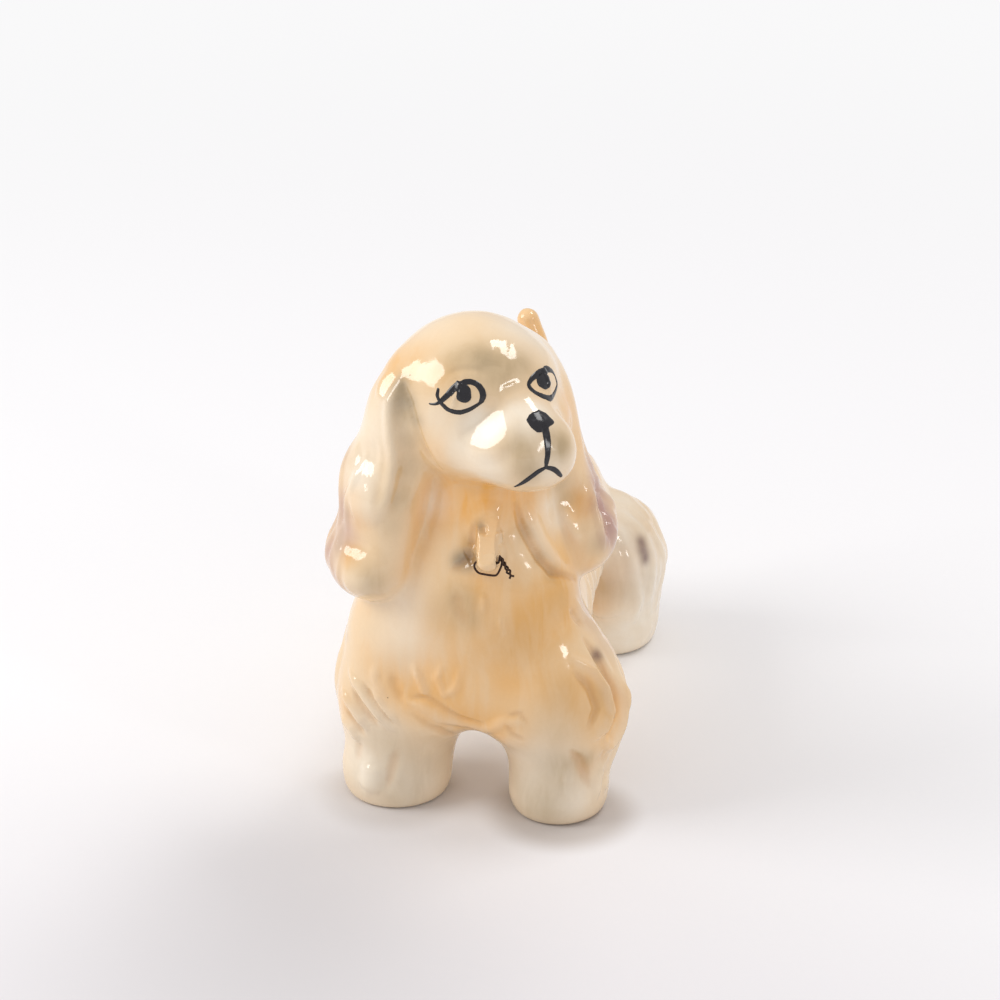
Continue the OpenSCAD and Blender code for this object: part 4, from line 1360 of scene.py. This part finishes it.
# Route of the wire from the pivot: through the bore, round the loop, and up to where its ends are twisted
WIRE_LOOP = [
    (3.05, 0, 1.3), (3, 0, 0.6), (2.75, 0, 0.1), (2.1, 0, 0), (-0.5, 0, 0), (-1.15, 0, -0.1),
    (-1.55, 0, -0.7), (-1.45, 0, -1.5), (-0.8, 0, -2.25), (0.3, 0, -2.45), (2.1, 0, -2.5),
    (2.75, 0, -2), (3.3, 0, -0.7), (3.5, 0, 0.4), (3.25, 0, 1.2),
]
TWIST_FROM = np.array([3.1, 0.0, 1.5])
TWIST_WAY = np.array([2.2, -0.9, -3.2]) / np.linalg.norm([2.2, -0.9, -3.2])
TWIST_LENGTH = 4.4
TWIST_TURNS = 2.6
TWIST_POINTS = 44
# Distance of the strands from the twist's middle in wire radii, and its looser turn: rise, place and width
STRAND_APART = 1.05
LOOSE_RISE, LOOSE_AT, LOOSE_WIDTH = 1.1, 0.68, 0.08
# The strands part from the ring over the first sixth of the twist
PARTING = 6
# Share of the twist where its ends splay, and how far they do
SPLAY_FROM, SPLAY = 0.84, 4


def twist_strand(side, wire_r):
    """One of the two strands that are wound round each other, from the ring outwards, with a splayed end."""
    across = np.cross(TWIST_WAY, (0, 1, 0))
    across /= np.linalg.norm(across)
    over = np.cross(TWIST_WAY, across)
    points = []
    for t in np.linspace(0, 1, TWIST_POINTS):
        angle = 2 * math.pi * TWIST_TURNS * t + (0 if side > 0 else math.pi)
        loose = LOOSE_RISE * math.exp(-((t - LOOSE_AT) / LOOSE_WIDTH) ** 2)
        apart = wire_r * (STRAND_APART + loose) * min(1, t * PARTING)
        splay = max(0, t - SPLAY_FROM) * SPLAY * side
        points.append(TWIST_FROM + TWIST_WAY * TWIST_LENGTH * t
                      + apart * (math.cos(angle) * across + math.sin(angle) * over) + splay * across)
    return points


class FIGURINE_OT_wire_ring(bpy.types.Operator):
    """Bend the wire through the lug's bore and twist its ends together"""

    bl_idname = "figurine.wire_ring"
    bl_label = "Wire ring"

    def execute(self, context):
        wire = context.scene.figurine_wire
        wire_r = wire.thickness / MM / 2
        route = twist_strand(1, wire_r)[::-1] + list(rounded_path(WIRE_LOOP)) + twist_strand(-1, wire_r)
        curve = bpy.data.curves.new("wire", "CURVE")
        curve.dimensions = "3D"
        curve.bevel_depth = wire.thickness / 2
        curve.bevel_resolution = 3
        curve.use_fill_caps = True
        spline = curve.splines.new("POLY")
        spline.points.add(len(route) - 1)
        for point, place_at in zip(spline.points, route):
            point.co = (*((np.array(place_at) + PIVOT_AT) * MM), 1)
        bent = new_object("wire", curve)
        graph = bpy.context.evaluated_depsgraph_get()
        mesh = bpy.data.meshes.new_from_object(bent.evaluated_get(graph))
        bpy.data.objects.remove(bent)
        piece = new_object("twisted_wire_ring", mesh)
        shade_smooth(mesh)
        finish = Finish("dark wire")
        rust = finish.noise(2600, 3.0)
        colour = finish.mix(rust * 0.6, tuple(wire.iron), srgb(96, 66, 48))
        finish.set(Base_Color=colour, Roughness=0.3 + 0.35 * rust, Normal=finish.bump(rust, 0.00002, 0.5))
        finish.set(Metallic=0.75)
        finished(piece, finish.material, RING, "wire_ring")
        return {"FINISHED"}


# The view: the point that it is measured from, its angles in degrees, its distance, and its focal length in
# pixels
VIEW_FROM = Vector((0.0005, -0.03475, 0.0))
VIEW_AZIMUTH = 13
VIEW_ELEVATION = 30
VIEW_DISTANCE = 0.65
FOCAL_PIXELS = 3425
FRAME_PIXELS = 1000
# Pixel of the frame at which that point is seen
FOOT_PIXEL = (478, 800)
SENSOR = 36

# Soft lights that face the figure: name, azimuth, elevation, width, height, share of the key light and colour
WINDOWS = [
    ("window", -72, 34, 0.5, 0.48, 1.0, (1.0, 0.995, 0.975)),
    ("overhead", 132, 61, 0.42, 0.24, 0.55, (1.0, 0.995, 0.98)),
    ("side", 62, 18, 0.12, 0.18, 0.14, (1.0, 1.0, 1.0)),
]
WINDOW_DISTANCE = 0.9
WINDOW_TARGET = Vector((0, -0.02, 0.05))

# Half the floor's width, and the shade and shadows painted on it: centre, start and end in metres, strength
# and display colour
FLOOR_HALF = 12
FLOOR_PAINTED_SHADE = [
    # Painted shade darker towards the front, a painted shadow at the front left, and painted contact shadows
    # by the two front feet
    ((0, -0.17, 0), 0.2, 0.06, 1.0, (229, 227, 230)),
    ((-0.02, -0.1, 0), 0.065, 0.0, 0.75, (205, 203, 205)),
    ((0.017, -0.036, 0), 0.0165, 0.009, 0.7, (186, 176, 168)),
    ((-0.016, -0.036, 0), 0.0165, 0.009, 0.35, (190, 180, 172)),
]
# The pale background: its colour, where it comes in round the figure, and how far it covers the floor
BACKGROUND = (0.955, 0.953, 0.957)
BACKGROUND_FROM, BACKGROUND_TO = 0.13, 0.5
BACKGROUND_COVER = 0.92
WORLD_COLOUR = (1.0, 0.98, 0.985, 1)


def sky(azimuth, elevation):
    """Direction from the figure, with azimuth 0 towards its front and positive to its left."""
    turn, rise = math.radians(azimuth), math.radians(elevation)
    return Vector((math.sin(turn) * math.cos(rise), -math.cos(turn) * math.cos(rise), math.sin(rise)))


def add_window(name, azimuth, elevation, width, height, watts, colour):
    """A soft rectangular light that faces the figure."""
    lamp = bpy.data.lights.new(name, "AREA")
    lamp.shape = "RECTANGLE"
    lamp.size = width
    lamp.size_y = height
    lamp.energy = watts
    lamp.color = colour
    obj = bpy.data.objects.new(name, lamp)
    away = sky(azimuth, elevation)
    obj.location = WINDOW_TARGET + away * WINDOW_DISTANCE
    obj.rotation_euler = away.to_track_quat("Z", "Y").to_euler()
    bpy.context.scene.collection.objects.link(obj)


class FIGURINE_OT_stage(bpy.types.Operator):
    """Set the paper floor, the soft lights and the camera"""

    bl_idname = "figurine.stage"
    bl_label = "Stage"

    def execute(self, context):
        scene = context.scene
        studio = scene.figurine_studio
        scene.view_settings.view_transform = "Standard"
        bm = bmesh.new()
        bmesh.ops.create_grid(bm, x_segments=4, y_segments=4, size=FLOOR_HALF)
        floor = new_object("paper_floor", made(bm, "paper_floor"))
        finish = Finish("paper")
        fibre = finish.noise(900, 3.0)
        shaded = tuple(studio.floor)
        for centre, start, end, strength, colour in FLOOR_PAINTED_SHADE:
            shaded = finish.mix(finish.reach(centre, start, end) * strength, shaded, srgb(*colour))
        finish.set(Base_Color=finish.mix(fibre * 0.06, shaded, (0.7, 0.68, 0.68)), Roughness=0.75)
        finish.set(Normal=finish.bump(fibre, 0.0001, 0.15), Specular_IOR_Level=0.2)
        lit = finish.node("ShaderNodeEmission", {}, {"Color": BACKGROUND, "Strength": 1.0})
        ray = finish.node("ShaderNodeLightPath", {}, {})
        kinds = ("Is Camera Ray", "Is Glossy Ray", "Is Transmission Ray")
        looked = sum(Value(finish.tree, ray.outputs[kind]) for kind in kinds).at_most(1.0)
        seen = looked * finish.reach((0, 0, 0), BACKGROUND_FROM, BACKGROUND_TO) * BACKGROUND_COVER
        blend = finish.node("ShaderNodeMixShader", {},
                            {0: seen, 1: finish.shader.outputs[0], 2: lit.outputs[0]})
        finish.feed(finish.output.inputs["Surface"], blend.outputs[0])
        floor.data.materials.append(finish.material)

        world = bpy.data.worlds.new("studio")
        scene.world = world
        world.use_nodes = True
        backdrop = world.node_tree.nodes["Background"]
        backdrop.inputs["Color"].default_value = WORLD_COLOUR
        backdrop.inputs["Strength"].default_value = studio.ambient

        for name, azimuth, elevation, width, height, share, colour in WINDOWS:
            add_window(name, azimuth, elevation, width, height, share * studio.key, colour)

        camera_data = bpy.data.cameras.new("view")
        camera_data.sensor_width = SENSOR
        camera_data.lens = SENSOR * FOCAL_PIXELS / FRAME_PIXELS
        camera_data.dof.use_dof = False
        camera = bpy.data.objects.new("view", camera_data)
        back = sky(VIEW_AZIMUTH, VIEW_ELEVATION)
        right = sky(VIEW_AZIMUTH + 90, 0)
        up = back.cross(right)
        across = (FRAME_PIXELS / 2 - FOOT_PIXEL[0]) / FOCAL_PIXELS
        above = (FOOT_PIXEL[1] - FRAME_PIXELS / 2) / FOCAL_PIXELS
        look = -back + right * across + up * above
        camera.location = VIEW_FROM + back * VIEW_DISTANCE
        camera.rotation_euler = look.to_track_quat("-Z", "Y").to_euler()
        scene.collection.objects.link(camera)
        scene.camera = camera
        return {"FINISHED"}


class FIGURINE_PT_panel(bpy.types.Panel):
    """Lists the figurine's pieces and settings"""

    bl_idname = "FIGURINE_PT_panel"
    bl_label = "Spaniel figurine"
    bl_space_type = "VIEW_3D"
    bl_region_type = "UI"
    bl_category = "Figurine"

    def draw(self, context):
        for operator in OPERATORS:
            self.layout.operator(operator.bl_idname)
        for holder in HOLDERS:
            settings = getattr(context.scene, holder)
            box = self.layout.box()
            for name in settings.bl_rna.properties.keys():
                if name not in ("rna_type", "name"):
                    box.prop(settings, name)


HOLDERS = {
    "figurine_glaze": FigurineGlaze,
    "figurine_clay": FigurineClay,
    "figurine_brush": FigurineBrush,
    "figurine_wire": FigurineWire,
    "figurine_studio": FigurineStudio,
}
OPERATORS = [FIGURINE_OT_castings, FIGURINE_OT_enamel, FIGURINE_OT_wire_ring, FIGURINE_OT_stage]
CLASSES = [*HOLDERS.values(), *OPERATORS, FIGURINE_PT_panel]


def register():
    for cls in CLASSES:
        bpy.utils.register_class(cls)
    for name, cls in HOLDERS.items():
        setattr(bpy.types.Scene, name, PointerProperty(type=cls))


def unregister():
    for name in HOLDERS:
        delattr(bpy.types.Scene, name)
    for cls in reversed(CLASSES):
        bpy.utils.unregister_class(cls)


def main():
    register()
    bpy.ops.figurine.castings()
    bpy.ops.figurine.enamel()
    bpy.ops.figurine.wire_ring()
    bpy.ops.figurine.stage()


if __name__ == "__main__":
    main()
